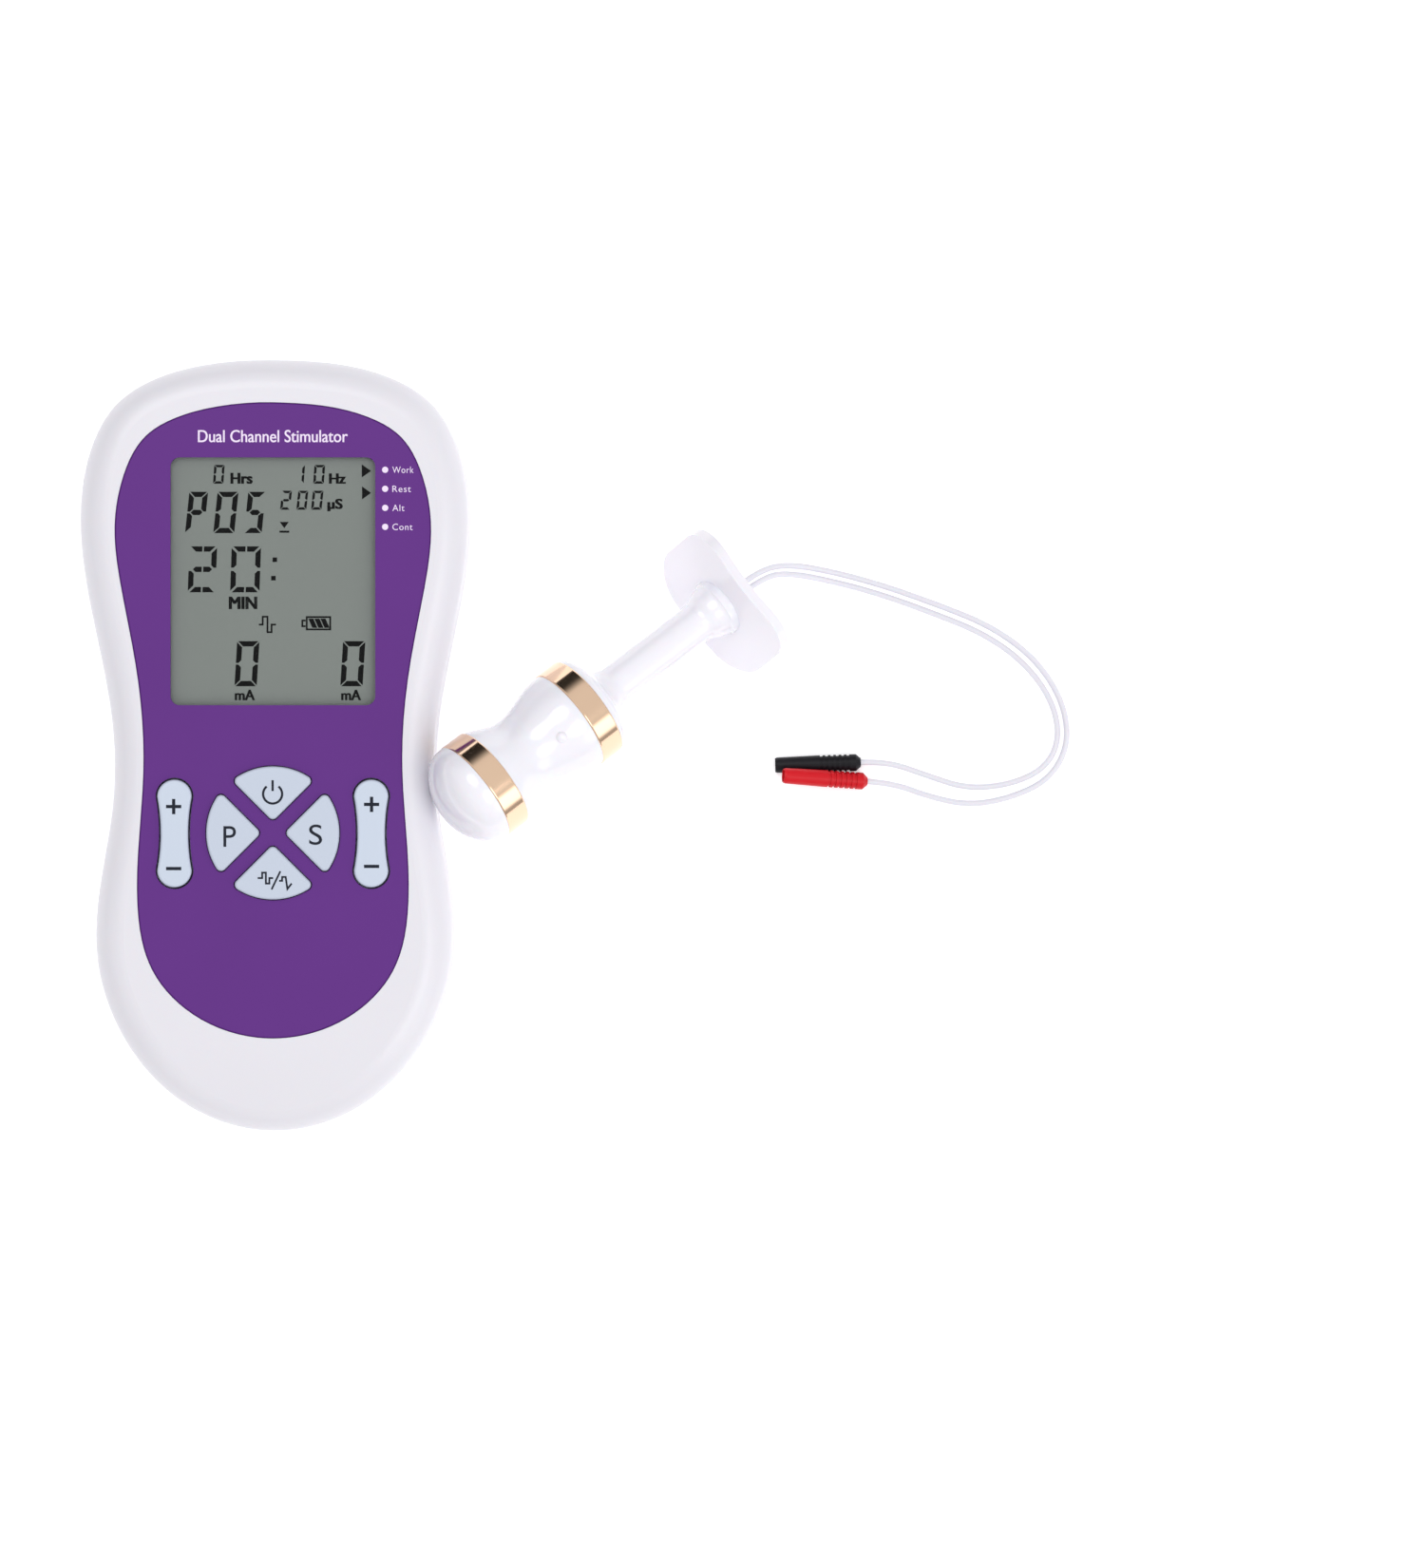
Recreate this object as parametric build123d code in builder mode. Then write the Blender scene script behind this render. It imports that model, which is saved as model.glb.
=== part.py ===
from build123d import *
import math
import os

# Handheld two-channel muscle stimulator, lying on its back, with its ring-electrode probe leaning
# on the controller's rim. Millimetres. Origin: centre of the rear resting face. +Z out of the
# front face, +Y towards the display end, +X to the right as the user reads the display.

os.makedirs("parts", exist_ok=True)

# ------------------------------------------------------------------ controller, driving sizes
BODY_HEIGHT = 26.0
PARTING_Z = 11.0
WALL = 2.4
FRONT_EDGE_R = 5.4
REAR_EDGE_R = 5.0
PARTING_GROOVE = 0.25
CHIN_SLOPE_START_Y = -55.5
CHIN_SLOPE_R = 39.0
CHIN_SLOPE_RUN = 20.0
CHIN_CAVITY_Y = -57.0
SHOULDER_Z = 20.0
SHOULDER_INSET = 3.4
BODY_REACH = 80.0
FLOOR_T = 2.4
CHIN_FLOOR_Z = 4.4
FLOOR_STEP_Y = -1.0
LIP_HEIGHT = 1.5
LIP_WIDTH = 1.0
LIP_GAP = 0.1

# Right half of each outline, from the display end to the chin.
BODY_OUTLINE = [
    (0.0, 71.15), (12.4, 70.3), (22.3, 67.5), (29.2, 62.9), (33.6, 55.3), (35.7, 39.4),
    (33.1, 21.8), (30.0, 5.2), (29.7, -10.0), (32.2, -26.4), (32.6, -39.6), (27.4, -54.5),
    (16.8, -65.9), (0.0, -71.15),
]
PANEL_OUTLINE = [
    (0.0, 63.1), (9.8, 62.4), (17.5, 60.4), (23.5, 56.8), (27.4, 49.9), (29.1, 40.2),
    (27.9, 29.0), (25.2, 14.6), (23.8, -4.0), (24.9, -29.5), (22.2, -41.3), (13.2, -50.4),
    (0.0, -53.9),
]

PANEL_RECESS = 1.2
PANEL_THICKNESS = 1.0
FRONT_WALL = 2.0
PANEL_GAP = 0.03
PANEL_BEVEL = 0.25
RECESS_Z = BODY_HEIGHT - PANEL_RECESS
PANEL_TOP_Z = RECESS_Z + PANEL_THICKNESS
WALL_UNDER_Z = RECESS_Z - FRONT_WALL

# ------------------------------------------------------------------ display
DISPLAY_Y = 30.2
WINDOW_SIZE = (37.7, 45.6)
WINDOW_CORNER_R = 1.7
WINDOW_SET_BACK = 0.1
CELL_SIZE = (40.4, 48.2)
CELL_TOP_Z = RECESS_Z - 0.5
CELL_THICKNESS = 2.0
BACKLIGHT_SIZE = (38.4, 43.0)
FRAME_OUTER = (44.0, 52.0)
FRAME_INNER = (40.8, 48.8)
ZEBRA_SIZE = (38.0, 1.8)
ZEBRA_OFFSET_Y = 22.9

# ------------------------------------------------------------------ keys
KEYS_Y = -16.1
KEY_RADIUS = 12.25
KEY_HALF_GAP = 1.5
KEY_TOP_Z = 26.7
KEY_CLEARANCE = 0.18
KEY_LIP = 0.7
KEY_CORNER_R = 1.0
KEY_EDGE_R = 0.5
KEY_LIP_Z = (21.6, 22.6)
KEY_TRAVEL = 1.0
PILL_RADIUS = 1.5
PILL_OFFSET = 7.2
ROCKER_X = 18.1
ROCKER_Y = -16.2
ROCKER_LENGTH = 19.8
ROCKER_END_WIDTH = 6.3
ROCKER_WAIST_WIDTH = 5.0
ROCKER_CLEARANCE = 0.35
ROCKER_LIP = 0.7
ROCKER_LIP_Z = (20.9, 21.9)
ROCKER_PILL_Y = 6.5
ROCKER_PIN_R = 0.7
ROCKER_PIN_Z = 21.3
RUNNING_GAP = 0.05
PIN_HALF_LENGTH = 4.7
ROCKER_HUB_R = 1.35
ROCKER_HUB_HALF = 3.4
LUG_X = 4.3
LUG_T = 1.0
LUG_WIDTH = 3.2
LUG_BOTTOM_Z = 20.2
DOME_BASE_R = 3.0
DOME_TOP_R = 2.0
DOME_T = 0.35

# ------------------------------------------------------------------ board and what stands on it
BOARD_Z = (15.5, 17.1)
BOARD_INSET = 3.8
MAT_Z = (BOARD_Z[1], BOARD_Z[1] + 0.8)
# Turn of each key about the cluster's centre from the display end, and side of each rocker.
KEY_TURNS = {"power": 0, "program": 90, "waveform": 180, "set": 270}
ROCKER_SIDES = {"left": -1, "right": 1}
MAT_SIZE = (50.0, 27.0)
ROCKER_PILL_Z = BOARD_Z[1] + 0.65
SCREW_PLACES = [(-25.0, 56.5), (25.0, 56.5), (-16.0, -61.2), (16.0, -61.2)]
SCREW_R = 1.1
SCREW_HEAD_R = 2.0
SCREW_SEAT_Z = 6.5
SCREW_TIP_Z = 17.0
BOSS_R = 2.7
REAR_BOSS_R = 3.3
BOSS_GAP = 0.1
JACK_X = 12.0
JACK_Z = 11.0
JACK_NOSE_R = 3.0
JACK_BORE_R = 1.25
JACK_BORE_LENGTH = 10.0
JACK_MOUTH_Y = 70.2
JACK_SHOULDER_Y = 66.5
JACK_BACK_Y = 57.0

# ------------------------------------------------------------------ battery bay
CELL_R = 5.25
BATTERY_LENGTH = 43.5
BATTERY_NUB = (2.6, 1.0)
BATTERY_PITCH = 10.9
BATTERY_Z = 8.0
BAY_X = 21.9
BAY_Y = (-54.0, -4.4)
BAY_TOP_Z = 13.6
BAY_WALL = 1.3
DOOR_Z = (0.25, 2.05)
DOOR_X = 23.0
DOOR_TONGUE_X = 24.2
DOOR_TONGUE_Z = 1.25
DOOR_TOP_Y = -3.0
DOOR_GAP = 0.25
GRIP_Y = -42.0
GRIP_PITCH = 3.2
GRIP_GROOVES = 5
GRIP_GROOVE_R = 1.5
GRIP_DEPTH = 0.45
GRIP_WIDTH = 19.0
GRIP_TAPER = 3.2
CONTACT_T = 0.35
CONTACT_HALF = 4.0

# ------------------------------------------------------------------ probe
PROBE_R = 10.0
RING_PROUD = 0.08
DOME_LENGTH = 7.2
RING_WIDTH = 4.6
RING_SPACING = 22.6
WAIST_R = 7.7
STEM_R = 3.8
SHELL_T = 1.5
STEM_BORE_R = 1.5
TIP_SPIGOT = 1.6
RING_EDGE_R = 0.3
WAIST_STEP = 0.12
PIP_R = 1.3
PIP_S = 24.6
PIP_DEPTH = 8.1
PIP_TURN = 12.0
WIRE_R = 0.4
WIRE_OFFSET = 0.7
WIRE_BEND_R = 1.6
SHOULDER_LENGTH = 4.4
COLLAR_R = 5.6
FLANGE_S = 65.6
FLANGE_T = 2.0
FLANGE_SIZE = (27.6, 23.8)
FLANGE_BEND_R = 60.0
FLANGE_LEAN = 12.0
FLANGE_CORNER_R = 7.5
GROMMET_SHAFT_R = 1.45
GROMMET_BASE_R = 2.7
GROMMET_END_R = 1.9
GROMMET_LENGTH = 4.4
PROBE_TURN = 37.5
PROBE_PITCH = 16.2
DOME_CENTRE = (37.15, -8.6, 27.95)

# ------------------------------------------------------------------ leads and connectors
LEAD_D = 1.1
LEAD_SPACING = 1.5
CONNECTOR_R = 1.6
CONNECTOR_LENGTH = 16.0
SOCKET_R = 1.02
SOCKET_LENGTH = 9.0
SOCKET_RECESS = 1.5
CONTACT_BACK = 1.5
SLEEVE_BORE_R = 1.2
RIB_START = 8.4
RIB_PITCH = 1.0
RIB_COUNT = 6
RIB_DEPTH = 0.2
# The black connector lies flat; the red one leans on it with its open end raised.
CONNECTOR_MOUTHS = {"black": (92.6, -3.6, 1.63), "red": (94.1, -5.55, 4.9)}
CONNECTOR_YAWS = {"black": 1.9, "red": -3.9}
CONNECTOR_DIPS = {"black": 0.0, "red": 11.7}
LEAD_EXIT_RUN = 5.0
# Points between the grommet and the connectors, laid by hand: down to the table and round in a loop.
LEAD_ROUTES = {
    "red": [
        (95.2, 33.9, 3.4), (103.2, 32.6, 0.8), (112.5, 30.1, 0.6), (123.0, 26.4, 0.6), (133.0, 22.4, 0.6),
        (141.2, 16.4, 0.6), (146.3, 8.7, 0.6), (147.6, 0.6, 0.6), (144.1, -6.1, 0.6), (137.0, -9.6, 0.6),
        (129.0, -11.1, 0.6), (121.8, -9.6, 0.6),
    ],
    "black": [
        (95.4, 32.2, 3.4), (102.8, 30.9, 0.8), (111.9, 28.5, 0.6), (122.2, 24.8, 0.6), (131.9, 20.9, 0.6),
        (139.7, 15.2, 0.6), (144.6, 8.1, 0.6), (145.8, 1.0, 0.6), (142.9, -4.3, 0.6), (136.6, -7.2, 0.6),
        (128.4, -8.0, 0.6), (120.7, -5.4, 1.0),
    ],
}


def save(builder, name):
    """Labels a finished piece and writes it."""
    builder.part.label = name
    export_step(builder.part, f"parts/{name}.step")


def both_halves(points):
    """Right-hand outline points followed by their mirror images, once round."""
    return points + [(-x, y) for x, y in reversed(points[1:-1])]


def pulled_in(points, inset):
    """Outline points moved inwards along the curve's own normals."""
    curve = Spline(*both_halves(points), periodic=True, mode=Mode.PRIVATE)
    moved = []
    for x, y in points:
        along = curve.tangent_at(curve.param_at_point((x, y)))
        moved.append((x + along.Y * inset, y - along.X * inset))
    moved[0] = (0.0, points[0][1] - inset)
    moved[-1] = (0.0, points[-1][1] + inset)
    return moved


def outline(points, inset=0.0, z=0.0):
    """Face inside a closed, left-right symmetric outline, at height z."""
    with BuildSketch(Plane.XY.offset(z)) as face:
        with BuildLine():
            Spline(*both_halves(pulled_in(points, inset)), periodic=True)
        make_face()
    return face.sketch


def parting_groove(z):
    """Thin rim round the outline, cut away so that a fine groove shows where the shells meet."""
    with BuildPart() as rim:
        extrude(outline(BODY_OUTLINE, -1, z), amount=PARTING_GROOVE)
        extrude(outline(BODY_OUTLINE, PARTING_GROOVE, z), amount=PARTING_GROOVE, mode=Mode.SUBTRACT)
    return rim.part


def key_face(turn, grow, z):
    """Quarter of the round key cluster, turned about its centre and grown by a margin."""
    apex = (KEY_HALF_GAP - grow) * math.sqrt(2)
    reach = 2 * KEY_RADIUS
    with BuildSketch(Plane((0, KEYS_Y, z)).rotated((0, 0, turn))) as face:
        Circle(KEY_RADIUS + grow)
        with BuildLine():
            Polyline((0, apex), (reach, apex + reach), (-reach, apex + reach), close=True)
        make_face(mode=Mode.INTERSECT)
        fillet(face.vertices(), radius=KEY_CORNER_R + grow / 2)
    return face.sketch


def rocker_face(side, grow, z):
    """Outline of a rocker: round ends and a drawn-in waist."""
    end_r = ROCKER_END_WIDTH / 2 + grow
    waist = ROCKER_WAIST_WIDTH / 2 + grow
    end_y = (ROCKER_LENGTH - ROCKER_END_WIDTH) / 2
    tip_y = ROCKER_LENGTH / 2 + grow
    with BuildSketch(Plane((side * ROCKER_X, ROCKER_Y, z))) as face:
        with BuildLine():
            ThreePointArc((-end_r, end_y), (0, tip_y), (end_r, end_y))
            ThreePointArc((end_r, end_y), (waist, 0), (end_r, -end_y))
            ThreePointArc((end_r, -end_y), (0, -tip_y), (-end_r, -end_y))
            ThreePointArc((-end_r, -end_y), (-waist, 0), (-end_r, end_y))
        make_face()
    return face.sketch


def block(centre_x, centre_y, z, size_x, size_y, size_z, corner=0.0):
    """Upright block standing on height z, with rounded upright edges if asked."""
    with BuildPart() as piece:
        with BuildSketch(Plane((centre_x, centre_y, z))):
            if corner > 0:
                RectangleRounded(size_x, size_y, corner)
            else:
                Rectangle(size_x, size_y)
        extrude(amount=size_z)
    return piece.part


def post(x, y, z, radius, height):
    """Upright round post standing on height z."""
    with BuildPart() as piece:
        with BuildSketch(Plane((x, y, z))):
            Circle(radius)
        extrude(amount=height)
    return piece.part


def key_centre(turn):
    """Where a key's contact pill stands."""
    angle = math.radians(turn + 90)
    return (PILL_OFFSET * math.cos(angle), KEYS_Y + PILL_OFFSET * math.sin(angle))


def front_openings(z, height, key_grow, rocker_grow):
    """Upright solids that cut the key and rocker openings through a wall."""
    cuts = [extrude(key_face(turn, key_grow, z), amount=height, mode=Mode.PRIVATE)
            for turn in KEY_TURNS.values()]
    cuts += [extrude(rocker_face(side, rocker_grow, z), amount=height, mode=Mode.PRIVATE)
             for side in ROCKER_SIDES.values()]
    return cuts


# ================================================================== front shell
with BuildPart() as front_shell:
    extrude(outline(BODY_OUTLINE, z=PARTING_Z), amount=BODY_HEIGHT - PARTING_Z)
    # The chin falls away in an arc from the flat front face.
    with BuildSketch(Plane.YZ):
        with BuildLine():
            run = CHIN_SLOPE_RUN
            drop = CHIN_SLOPE_R - math.sqrt(CHIN_SLOPE_R**2 - run**2)
            half_drop = CHIN_SLOPE_R - math.sqrt(CHIN_SLOPE_R**2 - (run / 2) ** 2)
            slope_end = (CHIN_SLOPE_START_Y - run, BODY_HEIGHT - drop)
            ThreePointArc(
                (CHIN_SLOPE_START_Y, BODY_HEIGHT),
                (CHIN_SLOPE_START_Y - run / 2, BODY_HEIGHT - half_drop),
                slope_end,
            )
            Polyline(
                slope_end,
                (slope_end[0], BODY_HEIGHT + 5),
                (CHIN_SLOPE_START_Y, BODY_HEIGHT + 5),
                (CHIN_SLOPE_START_Y, BODY_HEIGHT),
            )
        make_face()
    extrude(amount=60, both=True, mode=Mode.SUBTRACT)
    rim_edges = [
        edge for edge in front_shell.edges()
        if edge.bounding_box().min.Z > PARTING_Z + 3 and edge.bounding_box().size.Y > 1
    ]
    fillet(rim_edges, radius=FRONT_EDGE_R)
    add(parting_groove(PARTING_Z), mode=Mode.SUBTRACT)
    # Hollow inside, narrower under the rounded rim, with a rebate for the rear shell's lip.
    extrude(outline(BODY_OUTLINE, WALL, PARTING_Z), amount=SHOULDER_Z - PARTING_Z, mode=Mode.SUBTRACT)
    with BuildSketch(Plane.XY.offset(SHOULDER_Z)):
        add(outline(BODY_OUTLINE, SHOULDER_INSET))
        with Locations((0, CHIN_CAVITY_Y + BODY_REACH)):
            Rectangle(2 * BODY_REACH, 2 * BODY_REACH, mode=Mode.INTERSECT)
    extrude(amount=WALL_UNDER_Z - SHOULDER_Z, mode=Mode.SUBTRACT)
    extrude(outline(BODY_OUTLINE, WALL - LIP_WIDTH - LIP_GAP, PARTING_Z), amount=LIP_HEIGHT + LIP_GAP,
            mode=Mode.SUBTRACT)
    # Screw bosses, then lugs that hold each rocker's pin.
    for x, y in SCREW_PLACES:
        add(post(x, y, PARTING_Z + BOSS_GAP, BOSS_R, WALL_UNDER_Z - PARTING_Z - BOSS_GAP))
    for side in ROCKER_SIDES.values():
        for lug in (-1, 1):
            add(block(side * ROCKER_X + lug * LUG_X, ROCKER_Y, LUG_BOTTOM_Z, LUG_T, LUG_WIDTH,
                      WALL_UNDER_Z - LUG_BOTTOM_Z))
    # Recess for the face panel, opening for the display cell, keys and rockers.
    extrude(outline(PANEL_OUTLINE, -PANEL_GAP, RECESS_Z), amount=PANEL_RECESS + 1, mode=Mode.SUBTRACT)
    add(block(0, DISPLAY_Y, WALL_UNDER_Z - 0.1, CELL_SIZE[0] + 0.4, CELL_SIZE[1] + 0.4, FRONT_WALL + 0.2),
        mode=Mode.SUBTRACT)
    for cut in front_openings(WALL_UNDER_Z - 0.1, FRONT_WALL + 0.2, KEY_CLEARANCE, ROCKER_CLEARANCE):
        add(cut, mode=Mode.SUBTRACT)
    for side in ROCKER_SIDES.values():
        with Locations(Location((side * ROCKER_X, ROCKER_Y, ROCKER_PIN_Z), (0, 90, 0))):
            Cylinder(ROCKER_PIN_R, 2 * PIN_HALF_LENGTH, mode=Mode.SUBTRACT)
    for x, y in SCREW_PLACES:
        add(post(x, y, PARTING_Z, SCREW_R, SCREW_TIP_Z - PARTING_Z), mode=Mode.SUBTRACT)
    for side in (-1, 1):
        with Locations(Location((side * JACK_X, JACK_MOUTH_Y, JACK_Z), (90, 0, 0))):
            Cylinder(JACK_NOSE_R + 0.1, 8, mode=Mode.SUBTRACT)
save(front_shell, "front_shell")

# ================================================================== rear shell and battery door
with BuildPart() as rear_outside:
    extrude(outline(BODY_OUTLINE), amount=PARTING_Z)
    fillet(rear_outside.faces().sort_by(Axis.Z)[0].edges(), radius=REAR_EDGE_R)
    add(parting_groove(PARTING_Z - PARTING_GROOVE), mode=Mode.SUBTRACT)

bay_middle_y = (BAY_Y[0] + BAY_Y[1]) / 2
bay_length = BAY_Y[1] - BAY_Y[0]
door_middle_y = (DOOR_TOP_Y - BODY_REACH) / 2
door_length = DOOR_TOP_Y + BODY_REACH

with BuildPart() as rear_shell:
    add(rear_outside.part)
    # Locating lip inside the front shell's rebate.
    extrude(outline(BODY_OUTLINE, WALL - LIP_WIDTH, PARTING_Z), amount=LIP_HEIGHT)
    extrude(outline(BODY_OUTLINE, WALL, CHIN_FLOOR_Z), amount=PARTING_Z + LIP_HEIGHT - CHIN_FLOOR_Z,
            mode=Mode.SUBTRACT)
    with BuildSketch(Plane.XY.offset(FLOOR_T)):
        add(outline(BODY_OUTLINE, REAR_EDGE_R))
        with Locations((0, BODY_REACH / 2 + FLOOR_STEP_Y)):
            Rectangle(2 * BODY_REACH, BODY_REACH, mode=Mode.INTERSECT)
    extrude(amount=CHIN_FLOOR_Z - FLOOR_T + 0.1, mode=Mode.SUBTRACT)
    # Battery bay walls and ceiling.
    add(block(0, bay_middle_y, FLOOR_T, 2 * (BAY_X + BAY_WALL), bay_length + 2 * BAY_WALL,
              BAY_TOP_Z + BAY_WALL - FLOOR_T, corner=2))
    for x, y in SCREW_PLACES:
        add(post(x, y, FLOOR_T, REAR_BOSS_R, PARTING_Z - FLOOR_T))
    add(block(0, bay_middle_y, -1, 2 * BAY_X, bay_length, BAY_TOP_Z + 1), mode=Mode.SUBTRACT)
    # Pocket for the sliding door, with a groove along each side for its tongues.
    add(block(0, door_middle_y, -1, 2 * (DOOR_X + DOOR_GAP), door_length + 2 * DOOR_GAP,
              DOOR_Z[1] + DOOR_GAP + 1), mode=Mode.SUBTRACT)
    add(block(0, door_middle_y, DOOR_TONGUE_Z - DOOR_GAP / 2, 2 * (DOOR_TONGUE_X + DOOR_GAP),
              door_length + 2 * DOOR_GAP, DOOR_Z[1] - DOOR_TONGUE_Z + 1.5 * DOOR_GAP), mode=Mode.SUBTRACT)
    for x, y in SCREW_PLACES:
        # The lip stops short of each front boss.
        add(post(x, y, PARTING_Z, BOSS_R + BOSS_GAP, LIP_HEIGHT + 0.1), mode=Mode.SUBTRACT)
        add(post(x, y, -1, SCREW_HEAD_R + 0.2, SCREW_SEAT_Z + 1), mode=Mode.SUBTRACT)
        add(
            post(x, y, SCREW_SEAT_Z - 0.1, SCREW_R + 0.15, PARTING_Z - SCREW_SEAT_Z + 0.2),
            mode=Mode.SUBTRACT,
        )
    for side in (-1, 1):
        with Locations(Location((side * JACK_X, JACK_MOUTH_Y, JACK_Z), (90, 0, 0))):
            Cylinder(JACK_NOSE_R + 0.1, 8, mode=Mode.SUBTRACT)
save(rear_shell, "rear_shell")

with BuildPart() as battery_door:
    add(block(0, door_middle_y, DOOR_Z[0], 2 * DOOR_X, door_length, DOOR_Z[1] - DOOR_Z[0]))
    add(block(0, door_middle_y, DOOR_TONGUE_Z, 2 * DOOR_TONGUE_X, door_length, DOOR_Z[1] - DOOR_TONGUE_Z))
    add(rear_outside.part, mode=Mode.INTERSECT)
    # Thumb grip: five shallow grooves across the door.
    for groove in range(GRIP_GROOVES):
        groove_y = GRIP_Y - groove * GRIP_PITCH
        with Locations(Location((0, groove_y, DOOR_Z[0] - GRIP_GROOVE_R + GRIP_DEPTH), (0, 90, 0))):
            Cylinder(GRIP_GROOVE_R, GRIP_WIDTH - groove * GRIP_TAPER, mode=Mode.SUBTRACT)
save(battery_door, "battery_door")

# ================================================================== face panel and display
with BuildPart() as face_panel:
    extrude(outline(PANEL_OUTLINE, z=RECESS_Z), amount=PANEL_THICKNESS - PANEL_BEVEL)
    loft([outline(PANEL_OUTLINE, 0, PANEL_TOP_Z - PANEL_BEVEL),
          outline(PANEL_OUTLINE, PANEL_BEVEL, PANEL_TOP_Z)])
    add(block(0, DISPLAY_Y, RECESS_Z - 1, *WINDOW_SIZE, PANEL_THICKNESS + 2, corner=WINDOW_CORNER_R),
        mode=Mode.SUBTRACT)
    for cut in front_openings(RECESS_Z - 1, PANEL_THICKNESS + 2, KEY_CLEARANCE, ROCKER_CLEARANCE):
        add(cut, mode=Mode.SUBTRACT)
save(face_panel, "face_panel")

with BuildPart() as display_window:
    add(
        block(0, DISPLAY_Y, RECESS_Z, *WINDOW_SIZE, PANEL_THICKNESS - WINDOW_SET_BACK,
              corner=WINDOW_CORNER_R)
    )
save(display_window, "display_window")

with BuildPart() as display_cell:
    add(block(0, DISPLAY_Y, CELL_TOP_Z - CELL_THICKNESS, *CELL_SIZE, CELL_THICKNESS))
save(display_cell, "display_cell")

with BuildPart() as display_backlight:
    add(block(0, DISPLAY_Y, BOARD_Z[1], *BACKLIGHT_SIZE, CELL_TOP_Z - CELL_THICKNESS - BOARD_Z[1], corner=1))
save(display_backlight, "display_backlight")

with BuildPart() as display_frame:
    add(block(0, DISPLAY_Y, BOARD_Z[1], *FRAME_OUTER, WALL_UNDER_Z - BOARD_Z[1]))
    add(block(0, DISPLAY_Y, BOARD_Z[1] - 1, *FRAME_INNER, 10), mode=Mode.SUBTRACT)
save(display_frame, "display_frame")

with BuildPart() as zebra_strips:
    for end in (-1, 1):
        add(block(0, DISPLAY_Y + end * ZEBRA_OFFSET_Y, BOARD_Z[1], *ZEBRA_SIZE,
                  CELL_TOP_Z - CELL_THICKNESS - BOARD_Z[1]))
save(zebra_strips, "zebra_strips")

# ================================================================== board
with BuildPart() as main_board:
    extrude(outline(BODY_OUTLINE, BOARD_INSET, BOARD_Z[0]), amount=BOARD_Z[1] - BOARD_Z[0])
    for x, y in SCREW_PLACES:
        add(post(x, y, BOARD_Z[0] - 1, BOSS_R + 0.4, 4), mode=Mode.SUBTRACT)
save(main_board, "main_board")

with BuildPart() as control_chip:
    add(block(0, 14, BOARD_Z[0] - 1.5, 10, 10, 1.5))
save(control_chip, "control_chip")

with BuildPart() as output_transformers:
    for side in (-1, 1):
        add(block(side * 15, 38, BOARD_Z[0] - 10, 13, 6, 10))
        add(block(side * 15, 38, BOARD_Z[0] - 8.5, 9, 11, 7, corner=1.5))
save(output_transformers, "output_transformers")

with BuildPart() as capacitors:
    for y in (30, 38, 46):
        add(post(0, y, BOARD_Z[0] - 8, 3.15, 8))
save(capacitors, "capacitors")

with BuildPart() as buzzer:
    add(post(-17, 16, BOARD_Z[0] - 5, 6, 5))
    add(post(-17, 16, BOARD_Z[0] - 6, 1.5, 3), mode=Mode.SUBTRACT)
save(buzzer, "buzzer")

jack_body_y = (JACK_BACK_Y + JACK_SHOULDER_Y) / 2
for side_name, side in ROCKER_SIDES.items():
    with BuildPart() as output_jack:
        add(block(side * JACK_X, jack_body_y, JACK_Z - 3.6, 8, JACK_SHOULDER_Y - JACK_BACK_Y,
                  BOARD_Z[0] - JACK_Z + 3.6, corner=0.6))
        nose_length = JACK_MOUTH_Y - JACK_SHOULDER_Y
        with Locations(Location((side * JACK_X, JACK_SHOULDER_Y + nose_length / 2, JACK_Z), (90, 0, 0))):
            Cylinder(JACK_NOSE_R, nose_length)
        chamfer(output_jack.edges().filter_by(GeomType.CIRCLE).sort_by(Axis.Y)[-1], length=0.4)
        with Locations(Location((side * JACK_X, JACK_MOUTH_Y, JACK_Z), (90, 0, 0))):
            Cylinder(JACK_BORE_R, 2 * JACK_BORE_LENGTH, mode=Mode.SUBTRACT)
    save(output_jack, f"output_jack_{side_name}")

# ================================================================== batteries, contacts and screws
cell_places = [(step - 1.5) * BATTERY_PITCH for step in range(4)]
with BuildPart() as battery_cells:
    for index, x in enumerate(cell_places):
        facing = 1 if index % 2 == 0 else -1
        with Locations(Location((x, bay_middle_y - facing * BATTERY_NUB[1] / 2, BATTERY_Z), (90, 0, 0))):
            Cylinder(CELL_R, BATTERY_LENGTH)
        with Locations(Location((x, bay_middle_y + facing * BATTERY_LENGTH / 2, BATTERY_Z), (90, 0, 0))):
            Cylinder(BATTERY_NUB[0], BATTERY_NUB[1])
save(battery_cells, "battery_cells")

half_cell = (BATTERY_LENGTH + BATTERY_NUB[1]) / 2
with BuildPart() as spring_contacts:
    # Bowed leaf at the flat end of each cell.
    for index, x in enumerate(cell_places):
        facing = -1 if index % 2 == 0 else 1
        wall_y = BAY_Y[0] if facing < 0 else BAY_Y[1]
        cell_y = bay_middle_y + facing * half_cell
        reach = (wall_y - cell_y) * facing
        with BuildSketch(Plane((x, wall_y, BATTERY_Z), x_dir=(0, -facing, 0), z_dir=(facing, 0, 0))):
            with BuildLine():
                Polyline(
                    (0, -CONTACT_HALF), (CONTACT_T, -CONTACT_HALF), (CONTACT_T, -CONTACT_HALF + 0.6),
                    (reach, 0.8), (reach - CONTACT_T, 1.3), (CONTACT_T, -CONTACT_HALF + 1.4),
                    (CONTACT_T, CONTACT_HALF), (0, CONTACT_HALF), close=True,
                )
            make_face()
        extrude(amount=2.6, both=True)
save(spring_contacts, "spring_contacts")

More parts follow.
